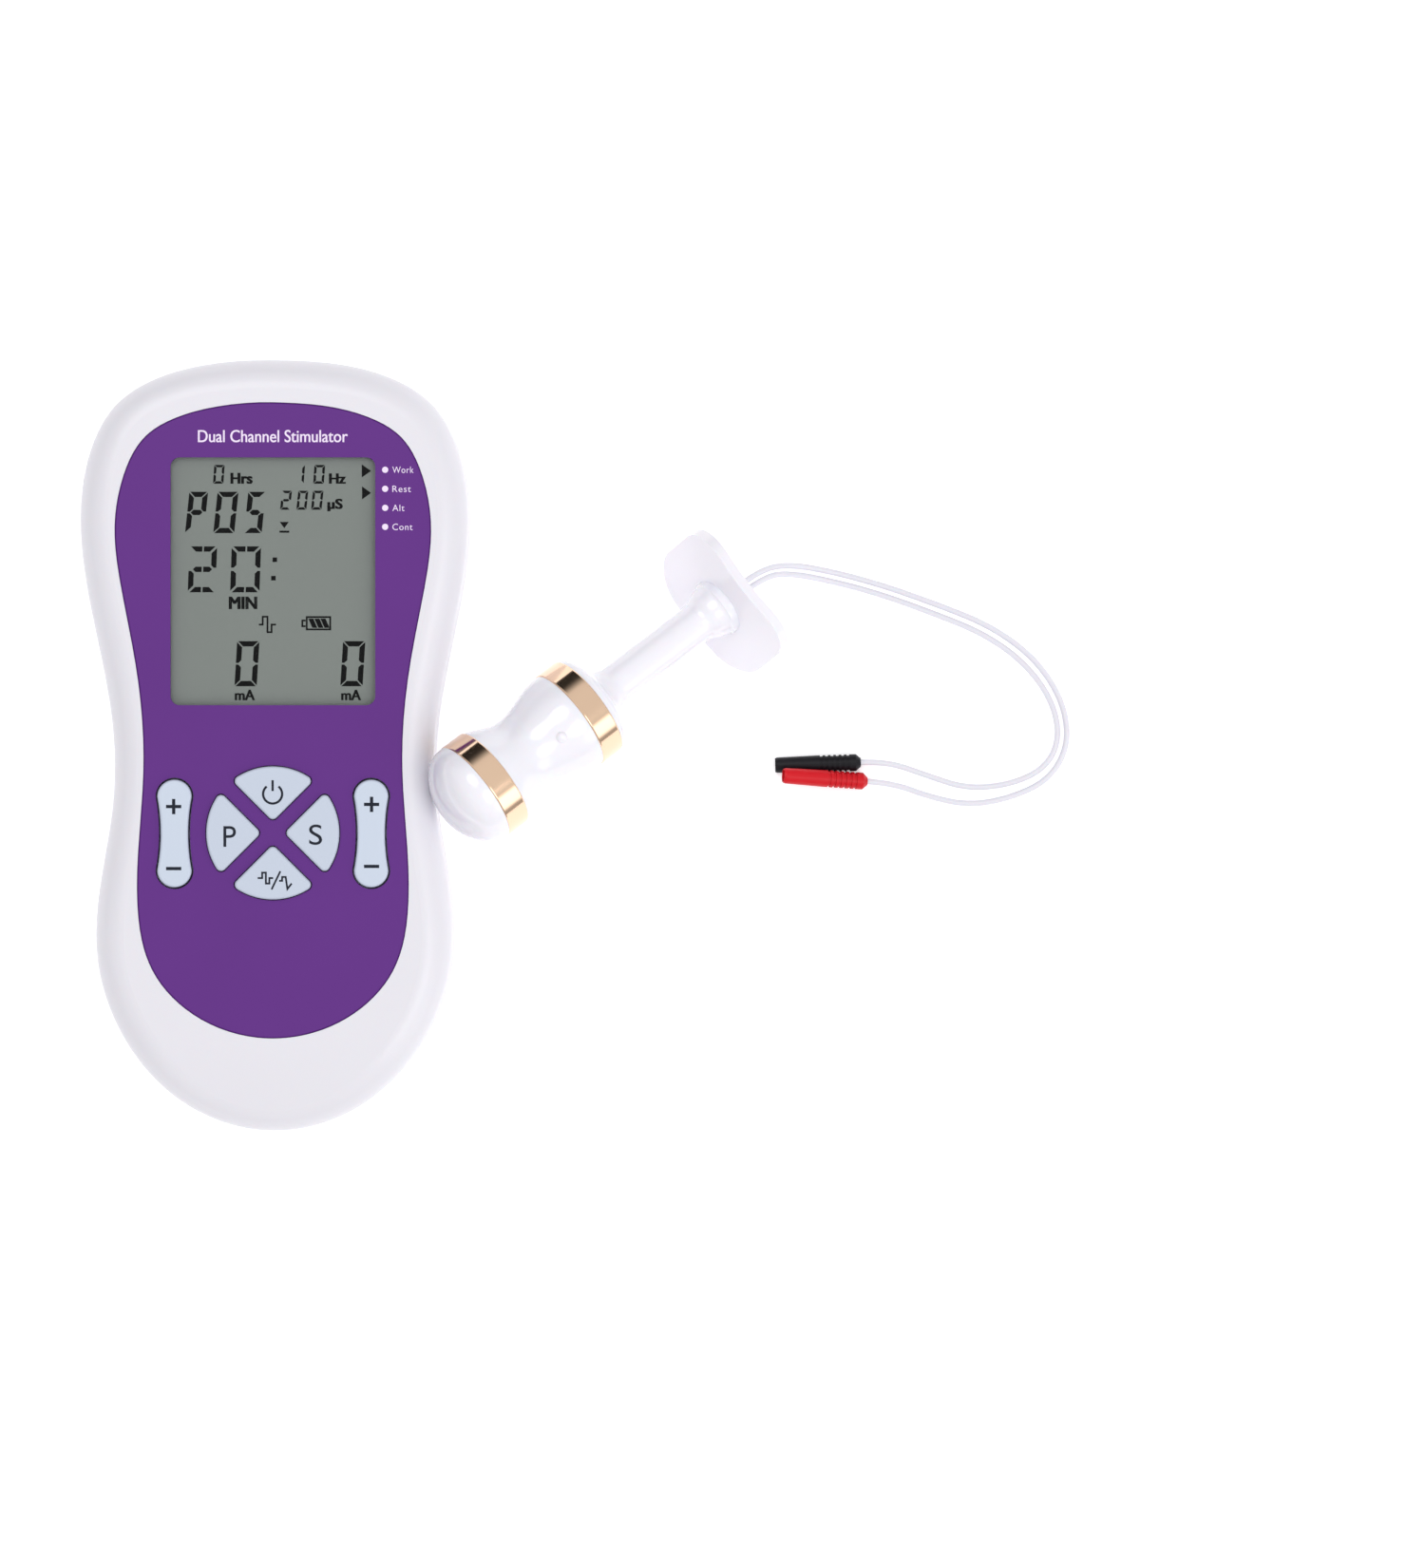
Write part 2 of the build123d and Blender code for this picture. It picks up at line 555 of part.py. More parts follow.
with BuildPart() as button_contacts:
    # Plate with a raised button at the nub end of each cell.
    for index, x in enumerate(cell_places):
        facing = 1 if index % 2 == 0 else -1
        wall_y = BAY_Y[1] if facing > 0 else BAY_Y[0]
        cell_y = bay_middle_y + facing * half_cell
        reach = abs(wall_y - cell_y)
        add(block(x, wall_y - facing * CONTACT_T / 2, BATTERY_Z - 4, 8, CONTACT_T, 8))
        with Locations(Location((x, wall_y - facing * reach / 2, BATTERY_Z), (90, 0, 0))):
            Cylinder(1.8, reach)
save(button_contacts, "button_contacts")

with BuildPart() as case_screws:
    for x, y in SCREW_PLACES:
        add(post(x, y, SCREW_SEAT_Z - 1.4, SCREW_HEAD_R, 1.4))
        add(post(x, y, SCREW_SEAT_Z - 0.1, SCREW_R, SCREW_TIP_Z - SCREW_SEAT_Z + 0.1))
        with Locations((x, y, SCREW_SEAT_Z - 1.4)):
            Box(2.4, 0.55, 1.2, mode=Mode.SUBTRACT)
            Box(0.55, 2.4, 1.2, mode=Mode.SUBTRACT)
save(case_screws, "case_screws")

# ================================================================== keys, rockers and keypad
with BuildPart() as keypad_mat:
    add(block(0, KEYS_Y, MAT_Z[0], *MAT_SIZE, MAT_Z[1] - MAT_Z[0], corner=3))
    for turn in KEY_TURNS.values():
        add(post(*key_centre(turn), MAT_Z[0] - 1, DOME_BASE_R - DOME_T, 3), mode=Mode.SUBTRACT)
    for side in ROCKER_SIDES.values():
        for end in (-1, 1):
            add(post(side * ROCKER_X, ROCKER_Y + end * ROCKER_PILL_Y, MAT_Z[0] - 1, DOME_BASE_R - DOME_T, 3),
                mode=Mode.SUBTRACT)
save(keypad_mat, "keypad_mat")


def dome(x, y, top_z):
    """Hollow silicone cone between the mat and the underside of a key."""
    height = top_z - MAT_Z[1]
    with BuildPart() as piece:
        with Locations((x, y, MAT_Z[1] + height / 2)):
            Cone(DOME_BASE_R, DOME_TOP_R, height)
            Cone(DOME_BASE_R - DOME_T, DOME_TOP_R - DOME_T, height, mode=Mode.SUBTRACT)
    return piece.part


for key_name, turn in KEY_TURNS.items():
    with BuildPart() as key:
        extrude(key_face(turn, 0, KEY_LIP_Z[1]), amount=KEY_TOP_Z - KEY_LIP_Z[1])
        fillet(key.faces().sort_by(Axis.Z)[-1].edges(), radius=KEY_EDGE_R)
        extrude(key_face(turn, KEY_LIP, KEY_LIP_Z[0]), amount=KEY_LIP_Z[1] - KEY_LIP_Z[0])
    save(key, f"key_{key_name}")
    with BuildPart() as pill:
        add(
            post(*key_centre(turn), BOARD_Z[1] + KEY_TRAVEL, PILL_RADIUS,
                 KEY_LIP_Z[0] - BOARD_Z[1] - KEY_TRAVEL)
        )
    save(pill, f"pill_{key_name}")
    with BuildPart() as key_dome:
        add(dome(*key_centre(turn), KEY_LIP_Z[0]))
    save(key_dome, f"dome_{key_name}")

for side_name, side in ROCKER_SIDES.items():
    with BuildPart() as rocker:
        extrude(rocker_face(side, 0, ROCKER_LIP_Z[1]), amount=KEY_TOP_Z - ROCKER_LIP_Z[1])
        fillet(rocker.faces().sort_by(Axis.Z)[-1].edges(), radius=KEY_EDGE_R)
        extrude(rocker_face(side, ROCKER_LIP, ROCKER_LIP_Z[0]), amount=ROCKER_LIP_Z[1] - ROCKER_LIP_Z[0])
        with Locations(Location((side * ROCKER_X, ROCKER_Y, ROCKER_PIN_Z), (0, 90, 0))):
            Cylinder(ROCKER_HUB_R, 2 * ROCKER_HUB_HALF)
            Cylinder(ROCKER_PIN_R + RUNNING_GAP, 2 * PIN_HALF_LENGTH, mode=Mode.SUBTRACT)
    save(rocker, f"rocker_{side_name}")
    with BuildPart() as rocker_pin:
        with Locations(Location((side * ROCKER_X, ROCKER_Y, ROCKER_PIN_Z), (0, 90, 0))):
            Cylinder(ROCKER_PIN_R, 2 * PIN_HALF_LENGTH)
    save(rocker_pin, f"rocker_pin_{side_name}")
    pill_ys = [ROCKER_Y + end * ROCKER_PILL_Y for end in (-1, 1)]
    with BuildPart() as rocker_pills:
        for y in pill_ys:
            add(post(side * ROCKER_X, y, ROCKER_PILL_Z, PILL_RADIUS, ROCKER_LIP_Z[0] - ROCKER_PILL_Z))
    save(rocker_pills, f"rocker_pills_{side_name}")
    with BuildPart() as rocker_domes:
        for y in pill_ys:
            add(dome(side * ROCKER_X, y, ROCKER_LIP_Z[0]))
    save(rocker_domes, f"rocker_domes_{side_name}")

# ================================================================== probe
turn_angle = math.radians(PROBE_TURN)
pitch_angle = math.radians(PROBE_PITCH)
probe_dir = Vector(
    math.cos(turn_angle) * math.cos(pitch_angle),
    math.sin(turn_angle) * math.cos(pitch_angle),
    -math.sin(pitch_angle),
)
probe_side = Vector(-math.sin(turn_angle), math.cos(turn_angle), 0)
probe_tip_point = Vector(*DOME_CENTRE) - probe_dir * DOME_LENGTH
probe_axis = Axis(probe_tip_point, probe_dir)
section_plane = Plane(origin=probe_tip_point, x_dir=probe_dir, z_dir=-probe_side)

front_ring = (DOME_LENGTH, DOME_LENGTH + RING_WIDTH)
rear_ring = (DOME_LENGTH + RING_SPACING, DOME_LENGTH + RING_SPACING + RING_WIDTH)
seat_r = PROBE_R - SHELL_T
bore_r = seat_r - SHELL_T
stem_start = rear_ring[1] + SHOULDER_LENGTH


def cross_plane(distance):
    """Plane square to the probe's axis, at a distance from the tip; x lies level."""
    return Plane(origin=probe_tip_point + probe_dir * distance, x_dir=probe_side, z_dir=probe_dir)


def ring_of(inner_r, outer_r, start, length):
    """Round sleeve on the probe's axis."""
    with BuildPart() as piece:
        with BuildSketch(cross_plane(start)):
            Circle(outer_r)
            if inner_r > 0:
                Circle(inner_r, mode=Mode.SUBTRACT)
        extrude(amount=length)
    return piece.part


with BuildPart() as probe_tip:
    with BuildSketch(section_plane):
        with BuildLine():
            Spline(
                (0, 0),
                (0.293 * DOME_LENGTH, 0.707 * PROBE_R),
                (DOME_LENGTH, PROBE_R),
                tangents=((0, 1), (1, 0)),
            )
            Polyline((DOME_LENGTH, PROBE_R), (DOME_LENGTH, 0), (0, 0))
        make_face()
    revolve(axis=probe_axis)
    add(ring_of(0, bore_r - 0.05, front_ring[0], TIP_SPIGOT))
    add(ring_of(0, bore_r - SHELL_T, front_ring[0] - 3, TIP_SPIGOT + 4), mode=Mode.SUBTRACT)
save(probe_tip, "probe_tip")

for ring_name, span in {"front": front_ring, "rear": rear_ring}.items():
    with BuildPart() as ring_electrode:
        add(ring_of(seat_r, PROBE_R + RING_PROUD, span[0], RING_WIDTH))
        outer_edges = ring_electrode.edges().filter_by(GeomType.CIRCLE).group_by(SortBy.RADIUS)[-1]
        fillet(outer_edges, radius=RING_EDGE_R)
    save(ring_electrode, f"ring_electrode_{ring_name}")

with BuildPart() as probe_waist:
    with BuildSketch(section_plane):
        with BuildLine():
            Polyline((front_ring[0], bore_r), (front_ring[0], seat_r), (front_ring[1], seat_r),
                     (front_ring[1], PROBE_R - WAIST_STEP))
            Spline(
                (front_ring[1], PROBE_R - WAIST_STEP),
                (front_ring[1] + 2.4, 0.9 * PROBE_R),
                (front_ring[1] + 6.2, WAIST_R),
                (front_ring[1] + 10.0, WAIST_R + 0.35),
                (rear_ring[0] - 3.6, 0.94 * PROBE_R),
                (rear_ring[0], PROBE_R - WAIST_STEP),
            )
            Polyline((rear_ring[0], PROBE_R - WAIST_STEP), (rear_ring[0], bore_r),
                     (rear_ring[0] - 3, WAIST_R - SHELL_T), (front_ring[1] + 3, WAIST_R - SHELL_T),
                     (front_ring[1], bore_r), (front_ring[0], bore_r))
        make_face()
    revolve(axis=probe_axis)
    # Small round pip over the gate on the upper side.
    pip_side = probe_side * -math.sin(math.radians(PIP_TURN)) + probe_dir.cross(probe_side) * math.cos(
        math.radians(PIP_TURN))
    pip_foot = probe_tip_point + probe_dir * PIP_S + pip_side * PIP_DEPTH
    with Locations(Location(pip_foot)):
        Sphere(PIP_R)
    wire_hole = Plane(origin=probe_tip_point + probe_dir * (front_ring[0] + 2.3), z_dir=probe_side)
    with BuildSketch(wire_hole):
        Circle(WIRE_R + 0.15)
    extrude(amount=PROBE_R, mode=Mode.SUBTRACT)
save(probe_waist, "probe_waist")

# The flange is a rounded plate that leans back from square; its wings bend back a little.
lean_angle = math.radians(FLANGE_LEAN)
flange_dir = probe_dir * math.cos(lean_angle) - probe_dir.cross(probe_side) * math.sin(lean_angle)
flange_plane = Plane(origin=probe_tip_point + probe_dir * FLANGE_S, x_dir=probe_side, z_dir=flange_dir)
flange_bend_plane = Plane(origin=flange_plane.origin + flange_plane.z_dir * FLANGE_BEND_R,
                          x_dir=flange_plane.x_dir, z_dir=flange_plane.y_dir)
with BuildPart() as behind_flange:
    with BuildSketch(flange_plane.offset(-1)):
        RectangleRounded(*FLANGE_SIZE, FLANGE_CORNER_R)
    extrude(amount=FLANGE_T + 8)
    with BuildSketch(flange_bend_plane):
        Circle(FLANGE_BEND_R)
    extrude(amount=30, both=True, mode=Mode.INTERSECT)

with BuildPart() as probe_stem:
    with BuildSketch(section_plane):
        with BuildLine():
            Polyline((rear_ring[0], STEM_BORE_R), (rear_ring[0], seat_r), (rear_ring[1], seat_r),
                     (rear_ring[1], PROBE_R - WAIST_STEP))
            Spline(
                (rear_ring[1], PROBE_R - WAIST_STEP),
                (rear_ring[1] + 0.62 * SHOULDER_LENGTH, 0.66 * PROBE_R),
                (stem_start + 0.8, STEM_R + 0.35),
                (stem_start + 3.0, STEM_R),
                tangents=((1, -0.15), (1, 0)),
            )
            Line((stem_start + 3.0, STEM_R), (FLANGE_S - 5.0, STEM_R))
            Spline(
                (FLANGE_S - 5.0, STEM_R),
                (FLANGE_S - 2.6, STEM_R + 0.9),
                (FLANGE_S - 1.2, COLLAR_R - 0.5),
                (FLANGE_S - 0.4, COLLAR_R),
                tangents=((1, 0), (0.5, 1)),
            )
            Polyline((FLANGE_S - 0.4, COLLAR_R), (FLANGE_S + 1.5, COLLAR_R), (FLANGE_S + 1.5, STEM_BORE_R),
                     (rear_ring[0], STEM_BORE_R))
        make_face()
    revolve(axis=probe_axis)
    rear_hole = Plane(origin=probe_tip_point + probe_dir * (rear_ring[0] + 2.3), z_dir=-probe_side)
    with BuildSketch(rear_hole):
        Circle(WIRE_R + 0.15)
    extrude(amount=PROBE_R, mode=Mode.SUBTRACT)
    add(behind_flange.part, mode=Mode.SUBTRACT)
save(probe_stem, "probe_stem")

with BuildPart() as probe_flange:
    add(behind_flange.part)
    with BuildSketch(flange_bend_plane):
        Circle(FLANGE_BEND_R - FLANGE_T)
    extrude(amount=30, both=True, mode=Mode.SUBTRACT)
    add(ring_of(0, GROMMET_SHAFT_R, FLANGE_S - 2, FLANGE_T + 5), mode=Mode.SUBTRACT)
save(probe_flange, "probe_flange")

grommet_end = FLANGE_S + FLANGE_T + GROMMET_LENGTH
with BuildPart() as lead_grommet:
    add(ring_of(0, GROMMET_SHAFT_R, FLANGE_S, FLANGE_T))
    with BuildSketch(cross_plane(FLANGE_S + FLANGE_T / 2)):
        Circle(GROMMET_BASE_R)
    with BuildSketch(cross_plane(grommet_end)):
        Circle(GROMMET_END_R)
    loft()
    add(probe_flange.part, mode=Mode.SUBTRACT)
save(lead_grommet, "lead_grommet")


def on_probe(distance, sideways):
    """Point beside the probe's axis, in its level plane."""
    return probe_tip_point + probe_dir * distance + probe_side * sideways


# Inner wires, from each ring through the stem to the grommet.
for wire_name, ring_start, side in (("front", front_ring[0], 1), ("rear", rear_ring[0], -1)):
    wire_s = ring_start + RING_WIDTH / 2
    with BuildPart() as ring_wire:
        with BuildLine():
            FilletPolyline(
                on_probe(wire_s, side * seat_r),
                on_probe(wire_s, side * WIRE_OFFSET),
                on_probe(FLANGE_S, side * WIRE_OFFSET),
                radius=WIRE_BEND_R,
            )
        with BuildSketch(Plane(origin=on_probe(wire_s, side * seat_r), z_dir=-side * probe_side)):
            Circle(WIRE_R)
        sweep()
    save(ring_wire, f"ring_wire_{wire_name}")

# ================================================================== leads and connectors


def connector_plane(name):
    """Section plane of a connector: x from the open end to the lead, y up."""
    yaw = math.radians(CONNECTOR_YAWS[name])
    dip = math.radians(CONNECTOR_DIPS[name])
    along = Vector(math.cos(dip) * math.cos(yaw), math.cos(dip) * math.sin(yaw), -math.sin(dip))
    return Plane(origin=CONNECTOR_MOUTHS[name], x_dir=along,
                 z_dir=Vector(math.sin(yaw), -math.cos(yaw), 0))


def sleeve_outline():
    """Half section of a connector's insulating sleeve, from the mouth to the lead."""
    points = [(0, SLEEVE_BORE_R), (0, CONNECTOR_R - 0.3), (0.4, CONNECTOR_R - 0.15),
              (RIB_START, CONNECTOR_R)]
    for rib in range(RIB_COUNT):
        start = RIB_START + rib * RIB_PITCH
        points += [(start, CONNECTOR_R - RIB_DEPTH), (start + RIB_PITCH / 2, CONNECTOR_R - RIB_DEPTH),
                   (start + RIB_PITCH / 2, CONNECTOR_R), (start + RIB_PITCH, CONNECTOR_R)]
    points += [(CONNECTOR_LENGTH - 0.9, CONNECTOR_R), (CONNECTOR_LENGTH, CONNECTOR_R - 0.8),
               (CONNECTOR_LENGTH, 0), (contact_end, 0), (contact_end, SLEEVE_BORE_R)]
    return points


contact_end = SOCKET_RECESS + SOCKET_LENGTH + CONTACT_BACK
for name in CONNECTOR_MOUTHS:
    plane = connector_plane(name)
    sleeve_axis = Axis(plane.origin, plane.x_dir)
    with BuildPart() as connector:
        with BuildSketch(plane):
            with BuildLine():
                Polyline(*sleeve_outline(), close=True)
            make_face()
        revolve(axis=sleeve_axis)
    save(connector, f"connector_{name}")
    with BuildPart() as contact:
        with BuildSketch(plane):
            with BuildLine():
                Polyline((SOCKET_RECESS, SOCKET_R), (SOCKET_RECESS, SLEEVE_BORE_R),
                         (contact_end, SLEEVE_BORE_R), (contact_end, 0), (SOCKET_RECESS + SOCKET_LENGTH, 0),
                         (SOCKET_RECESS + SOCKET_LENGTH, SOCKET_R), close=True)
            make_face()
        revolve(axis=sleeve_axis)
    save(contact, f"contact_{name}")

for name, side in (("red", 1), ("black", -1)):
    plane = connector_plane(name)
    start = on_probe(grommet_end, side * LEAD_SPACING / 2)
    second = start + probe_dir * LEAD_EXIT_RUN
    end = plane.origin + plane.x_dir * CONNECTOR_LENGTH
    before_end = end + plane.x_dir * LEAD_EXIT_RUN
    route = [start, second] + [Vector(*point) for point in LEAD_ROUTES[name]] + [before_end, end]
    runs = [(b - a).length for a, b in zip(route, route[1:])]
    turns = [(b - a).get_angle(c - b) for a, b, c in zip(route, route[1:], route[2:])]
    radii = [0.45 * min(near, far) / math.tan(math.radians(turn) / 2)
             for near, far, turn in zip(runs, runs[1:], turns)]
    with BuildPart() as lead:
        with BuildLine() as lead_path:
            FilletPolyline(*route, radius=radii)
        with BuildSketch(Plane(origin=start, z_dir=probe_dir)):
            Circle(LEAD_D / 2)
        sweep()
    save(lead, f"lead_{name}")
    length = sum(edge.length for edge in lead_path.edges())
    print(f"lead {name}: length {length:.1f} mm, volume {lead.part.volume:.2f} against",
          f"{length * math.pi * LEAD_D**2 / 4:.2f}, radii", [round(radius, 1) for radius in radii])
    print("  runs", [round(run, 1) for run in runs], "turns", [round(turn) for turn in turns])
    print("  route", [tuple(round(value, 2) for value in point) for point in route])
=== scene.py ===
"""Looks of a handheld two-channel muscle stimulator and its two-ring electrode probe.

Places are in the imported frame: the origin is the middle of the controller's rear face, +Z points out of its
front and +Y to its display end. Flat artwork on the face is given in millimetres, everything else in metres.
"""

import math

import bmesh
import bpy
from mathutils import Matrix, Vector


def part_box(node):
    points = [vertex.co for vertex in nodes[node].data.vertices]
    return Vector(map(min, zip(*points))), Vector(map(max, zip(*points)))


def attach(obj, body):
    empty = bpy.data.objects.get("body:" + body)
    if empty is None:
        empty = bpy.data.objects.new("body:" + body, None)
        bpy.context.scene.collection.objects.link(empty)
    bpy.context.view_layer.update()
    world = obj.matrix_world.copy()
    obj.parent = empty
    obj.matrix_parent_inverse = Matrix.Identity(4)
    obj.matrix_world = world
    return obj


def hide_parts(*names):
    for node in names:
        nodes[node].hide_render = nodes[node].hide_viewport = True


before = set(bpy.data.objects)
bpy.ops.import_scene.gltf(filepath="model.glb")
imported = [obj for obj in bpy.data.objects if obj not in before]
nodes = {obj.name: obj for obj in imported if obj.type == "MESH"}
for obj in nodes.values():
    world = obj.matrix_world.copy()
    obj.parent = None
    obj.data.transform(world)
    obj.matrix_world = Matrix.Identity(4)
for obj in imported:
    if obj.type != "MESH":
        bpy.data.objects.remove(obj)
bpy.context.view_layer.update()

MM = 0.001
scene = bpy.context.scene

# ------------------------------------------------------------------ camera, straight above
OUTLINE_Z = 0.020
FRAME_HEIGHT = 0.2895
CAMERA_DISTANCE = 1.6
CAMERA_XY = (0.0809, -0.0071)
SENSOR = 36.0

camera_data = bpy.data.cameras.new("camera")
camera_data.sensor_fit = "VERTICAL"
camera_data.sensor_height = SENSOR
camera_data.lens = SENSOR * CAMERA_DISTANCE / FRAME_HEIGHT
camera_data.clip_end = 20.0
camera = bpy.data.objects.new("camera", camera_data)
camera.location = (*CAMERA_XY, OUTLINE_Z + CAMERA_DISTANCE)
scene.collection.objects.link(camera)
scene.camera = camera
scene.view_settings.view_transform = "Standard"

# ------------------------------------------------------------------ leads
LEAD_DIAMETER = 0.0011
# Blender adds each control point's radius to a curve's bounds, so the points stay thin and the bevel thick.
POINT_RADIUS = 0.001
LEADS = {
    "red": {
        "length": 0.1225,
        "route": [
            (0.08606, 0.02988, 0.00987),
            (0.08987, 0.03280, 0.00848),
            (0.09520, 0.03390, 0.00340),
            (0.10320, 0.03260, 0.00080),
            (0.11250, 0.03010, 0.00060),
            (0.12300, 0.02640, 0.00060),
            (0.13300, 0.02240, 0.00060),
            (0.14120, 0.01640, 0.00060),
            (0.14630, 0.00870, 0.00060),
            (0.14760, 0.00060, 0.00060),
            (0.14410, -0.00610, 0.00060),
            (0.13700, -0.00960, 0.00060),
            (0.12900, -0.01110, 0.00060),
            (0.12180, -0.00960, 0.00060),
            (0.11462, -0.00695, 0.00064),
            (0.10973, -0.00662, 0.00166),
        ],
    },
    "black": {
        "length": 0.1168,
        "route": [
            (0.08697, 0.02869, 0.00987),
            (0.09078, 0.03161, 0.00848),
            (0.09540, 0.03220, 0.00340),
            (0.10280, 0.03090, 0.00080),
            (0.11190, 0.02850, 0.00060),
            (0.12220, 0.02480, 0.00060),
            (0.13190, 0.02090, 0.00060),
            (0.13970, 0.01520, 0.00060),
            (0.14460, 0.00810, 0.00060),
            (0.14580, 0.00100, 0.00060),
            (0.14290, -0.00430, 0.00060),
            (0.13660, -0.00720, 0.00060),
            (0.12840, -0.00800, 0.00060),
            (0.12070, -0.00540, 0.00100),
            (0.11359, -0.00290, 0.00163),
            (0.10859, -0.00307, 0.00163),
        ],
    },
}

lead_pieces = {}
for colour, lead in LEADS.items():
    curve = bpy.data.curves.new("lead_sheath_" + colour, "CURVE")
    curve.dimensions = "3D"
    curve.bevel_depth = LEAD_DIAMETER / 2 / POINT_RADIUS
    curve.bevel_resolution = 6
    curve.resolution_u = 12
    curve.use_fill_caps = True
    spline = curve.splines.new("NURBS")
    spline.points.add(len(lead["route"]) - 1)
    for point, place in zip(spline.points, lead["route"]):
        point.co = (*place, 1)
        point.radius = POINT_RADIUS
    spline.order_u = 3
    spline.use_endpoint_u = True
    piece = bpy.data.objects.new("lead_sheath_" + colour, curve)
    scene.collection.objects.link(piece)
    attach(piece, "probe")
    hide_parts("lead_" + colour)
    lead_pieces[colour] = piece


# ------------------------------------------------------------------ materials
def srgb(red, green, blue):
    """Linear RGBA of an sRGB colour given as 0 to 255."""
    values = [v / 255 for v in (red, green, blue)]
    return (*[v / 12.92 if v <= 0.04045 else ((v + 0.055) / 1.055) ** 2.4 for v in values], 1.0)


def scaled(colour, factor):
    """The colour made lighter or darker by a factor, and no brighter than white."""
    return (*[min(1.0, v * factor) for v in colour[:3]], 1.0)


def moulding(name, colour, roughness, drift=0.02, drift_scale=22.0, grain_scale=1500.0, grain=0.1,
             grain_depth=0.00001, **sockets):
    """A moulded surface: colour that drifts a little, and a fine grain in its roughness and its bump."""
    material = bpy.data.materials.new(name)
    material.use_nodes = True
    tree = material.node_tree
    shader = tree.nodes["Principled BSDF"]
    place = tree.nodes.new("ShaderNodeTexCoord")

    cloud = tree.nodes.new("ShaderNodeTexNoise")
    cloud.inputs["Scale"].default_value = drift_scale
    cloud.inputs["Detail"].default_value = 3
    tree.links.new(place.outputs["Object"], cloud.inputs["Vector"])
    tint = tree.nodes.new("ShaderNodeValToRGB")
    tint.color_ramp.elements[0].position = 0.3
    tint.color_ramp.elements[0].color = scaled(colour, 1 - drift)
    tint.color_ramp.elements[1].position = 0.7
    tint.color_ramp.elements[1].color = scaled(colour, 1 + drift)
    tree.links.new(cloud.outputs["Fac"], tint.inputs["Fac"])
    tree.links.new(tint.outputs["Color"], shader.inputs["Base Color"])

    speckle = tree.nodes.new("ShaderNodeTexNoise")
    speckle.inputs["Scale"].default_value = grain_scale
    speckle.inputs["Detail"].default_value = 2
    tree.links.new(place.outputs["Object"], speckle.inputs["Vector"])
    gloss = tree.nodes.new("ShaderNodeMapRange")
    gloss.inputs["To Min"].default_value = roughness * 0.85
    gloss.inputs["To Max"].default_value = min(1.0, roughness * 1.15)
    tree.links.new(speckle.outputs["Fac"], gloss.inputs["Value"])
    tree.links.new(gloss.outputs["Result"], shader.inputs["Roughness"])
    bump = tree.nodes.new("ShaderNodeBump")
    bump.inputs["Strength"].default_value = grain
    bump.inputs["Distance"].default_value = grain_depth
    tree.links.new(speckle.outputs["Fac"], bump.inputs["Height"])
    tree.links.new(bump.outputs["Normal"], shader.inputs["Normal"])
    for socket, value in sockets.items():
        shader.inputs[socket.replace("_", " ")].default_value = value
    return material


def plated(name, colour, roughness, turn, line_scale, line_depth):
    """Polished plating with faint turning lines round the axis that turn brings onto X."""
    material = moulding(name, colour, roughness, drift=0.03, grain=0.05, Metallic=1.0)
    tree = material.node_tree
    shader = tree.nodes["Principled BSDF"]
    place = tree.nodes.new("ShaderNodeTexCoord")
    along = tree.nodes.new("ShaderNodeMapping")
    along.vector_type = "TEXTURE"
    along.inputs["Rotation"].default_value = turn
    lines = tree.nodes.new("ShaderNodeTexWave")
    lines.wave_type = "BANDS"
    lines.bands_direction = "X"
    lines.inputs["Scale"].default_value = line_scale
    lines.inputs["Distortion"].default_value = 0.6
    tree.links.new(place.outputs["Object"], along.inputs["Vector"])
    tree.links.new(along.outputs["Vector"], lines.inputs["Vector"])
    bump = tree.nodes.new("ShaderNodeBump")
    bump.inputs["Strength"].default_value = 0.12
    bump.inputs["Distance"].default_value = line_depth
    tree.links.new(lines.outputs["Fac"], bump.inputs["Height"])
    tree.links.new(bump.outputs["Normal"], shader.inputs["Normal"])
    return material


CELL_ENDS_Y = (-0.052, -0.006)
WRAP_DARK = srgb(30, 32, 38)
WRAP_COPPER = srgb(190, 120, 70)


def wrapped_cell(name):
    """A battery's printed wrap: dark, with a copper band at one end."""
    material = moulding(name, WRAP_DARK, 0.3, Metallic=0.4)
    tree = material.node_tree
    shader = tree.nodes["Principled BSDF"]
    place = tree.nodes.new("ShaderNodeTexCoord")
    split = tree.nodes.new("ShaderNodeSeparateXYZ")
    band = tree.nodes.new("ShaderNodeValToRGB")
    band.color_ramp.interpolation = "CONSTANT"
    band.color_ramp.elements[0].color = WRAP_DARK
    band.color_ramp.elements[1].position = 0.6
    band.color_ramp.elements[1].color = WRAP_COPPER
    reach = tree.nodes.new("ShaderNodeMapRange")
    reach.inputs["From Min"].default_value = CELL_ENDS_Y[0]
    reach.inputs["From Max"].default_value = CELL_ENDS_Y[1]
    tree.links.new(place.outputs["Object"], split.inputs["Vector"])
    tree.links.new(split.outputs["Y"], reach.inputs["Value"])
    tree.links.new(reach.outputs["Result"], band.inputs["Fac"])
    tree.links.new(band.outputs["Color"], shader.inputs["Base Color"])
    return material


PROBE_TURN = math.radians(37.5)
PROBE_PITCH = math.radians(16.2)

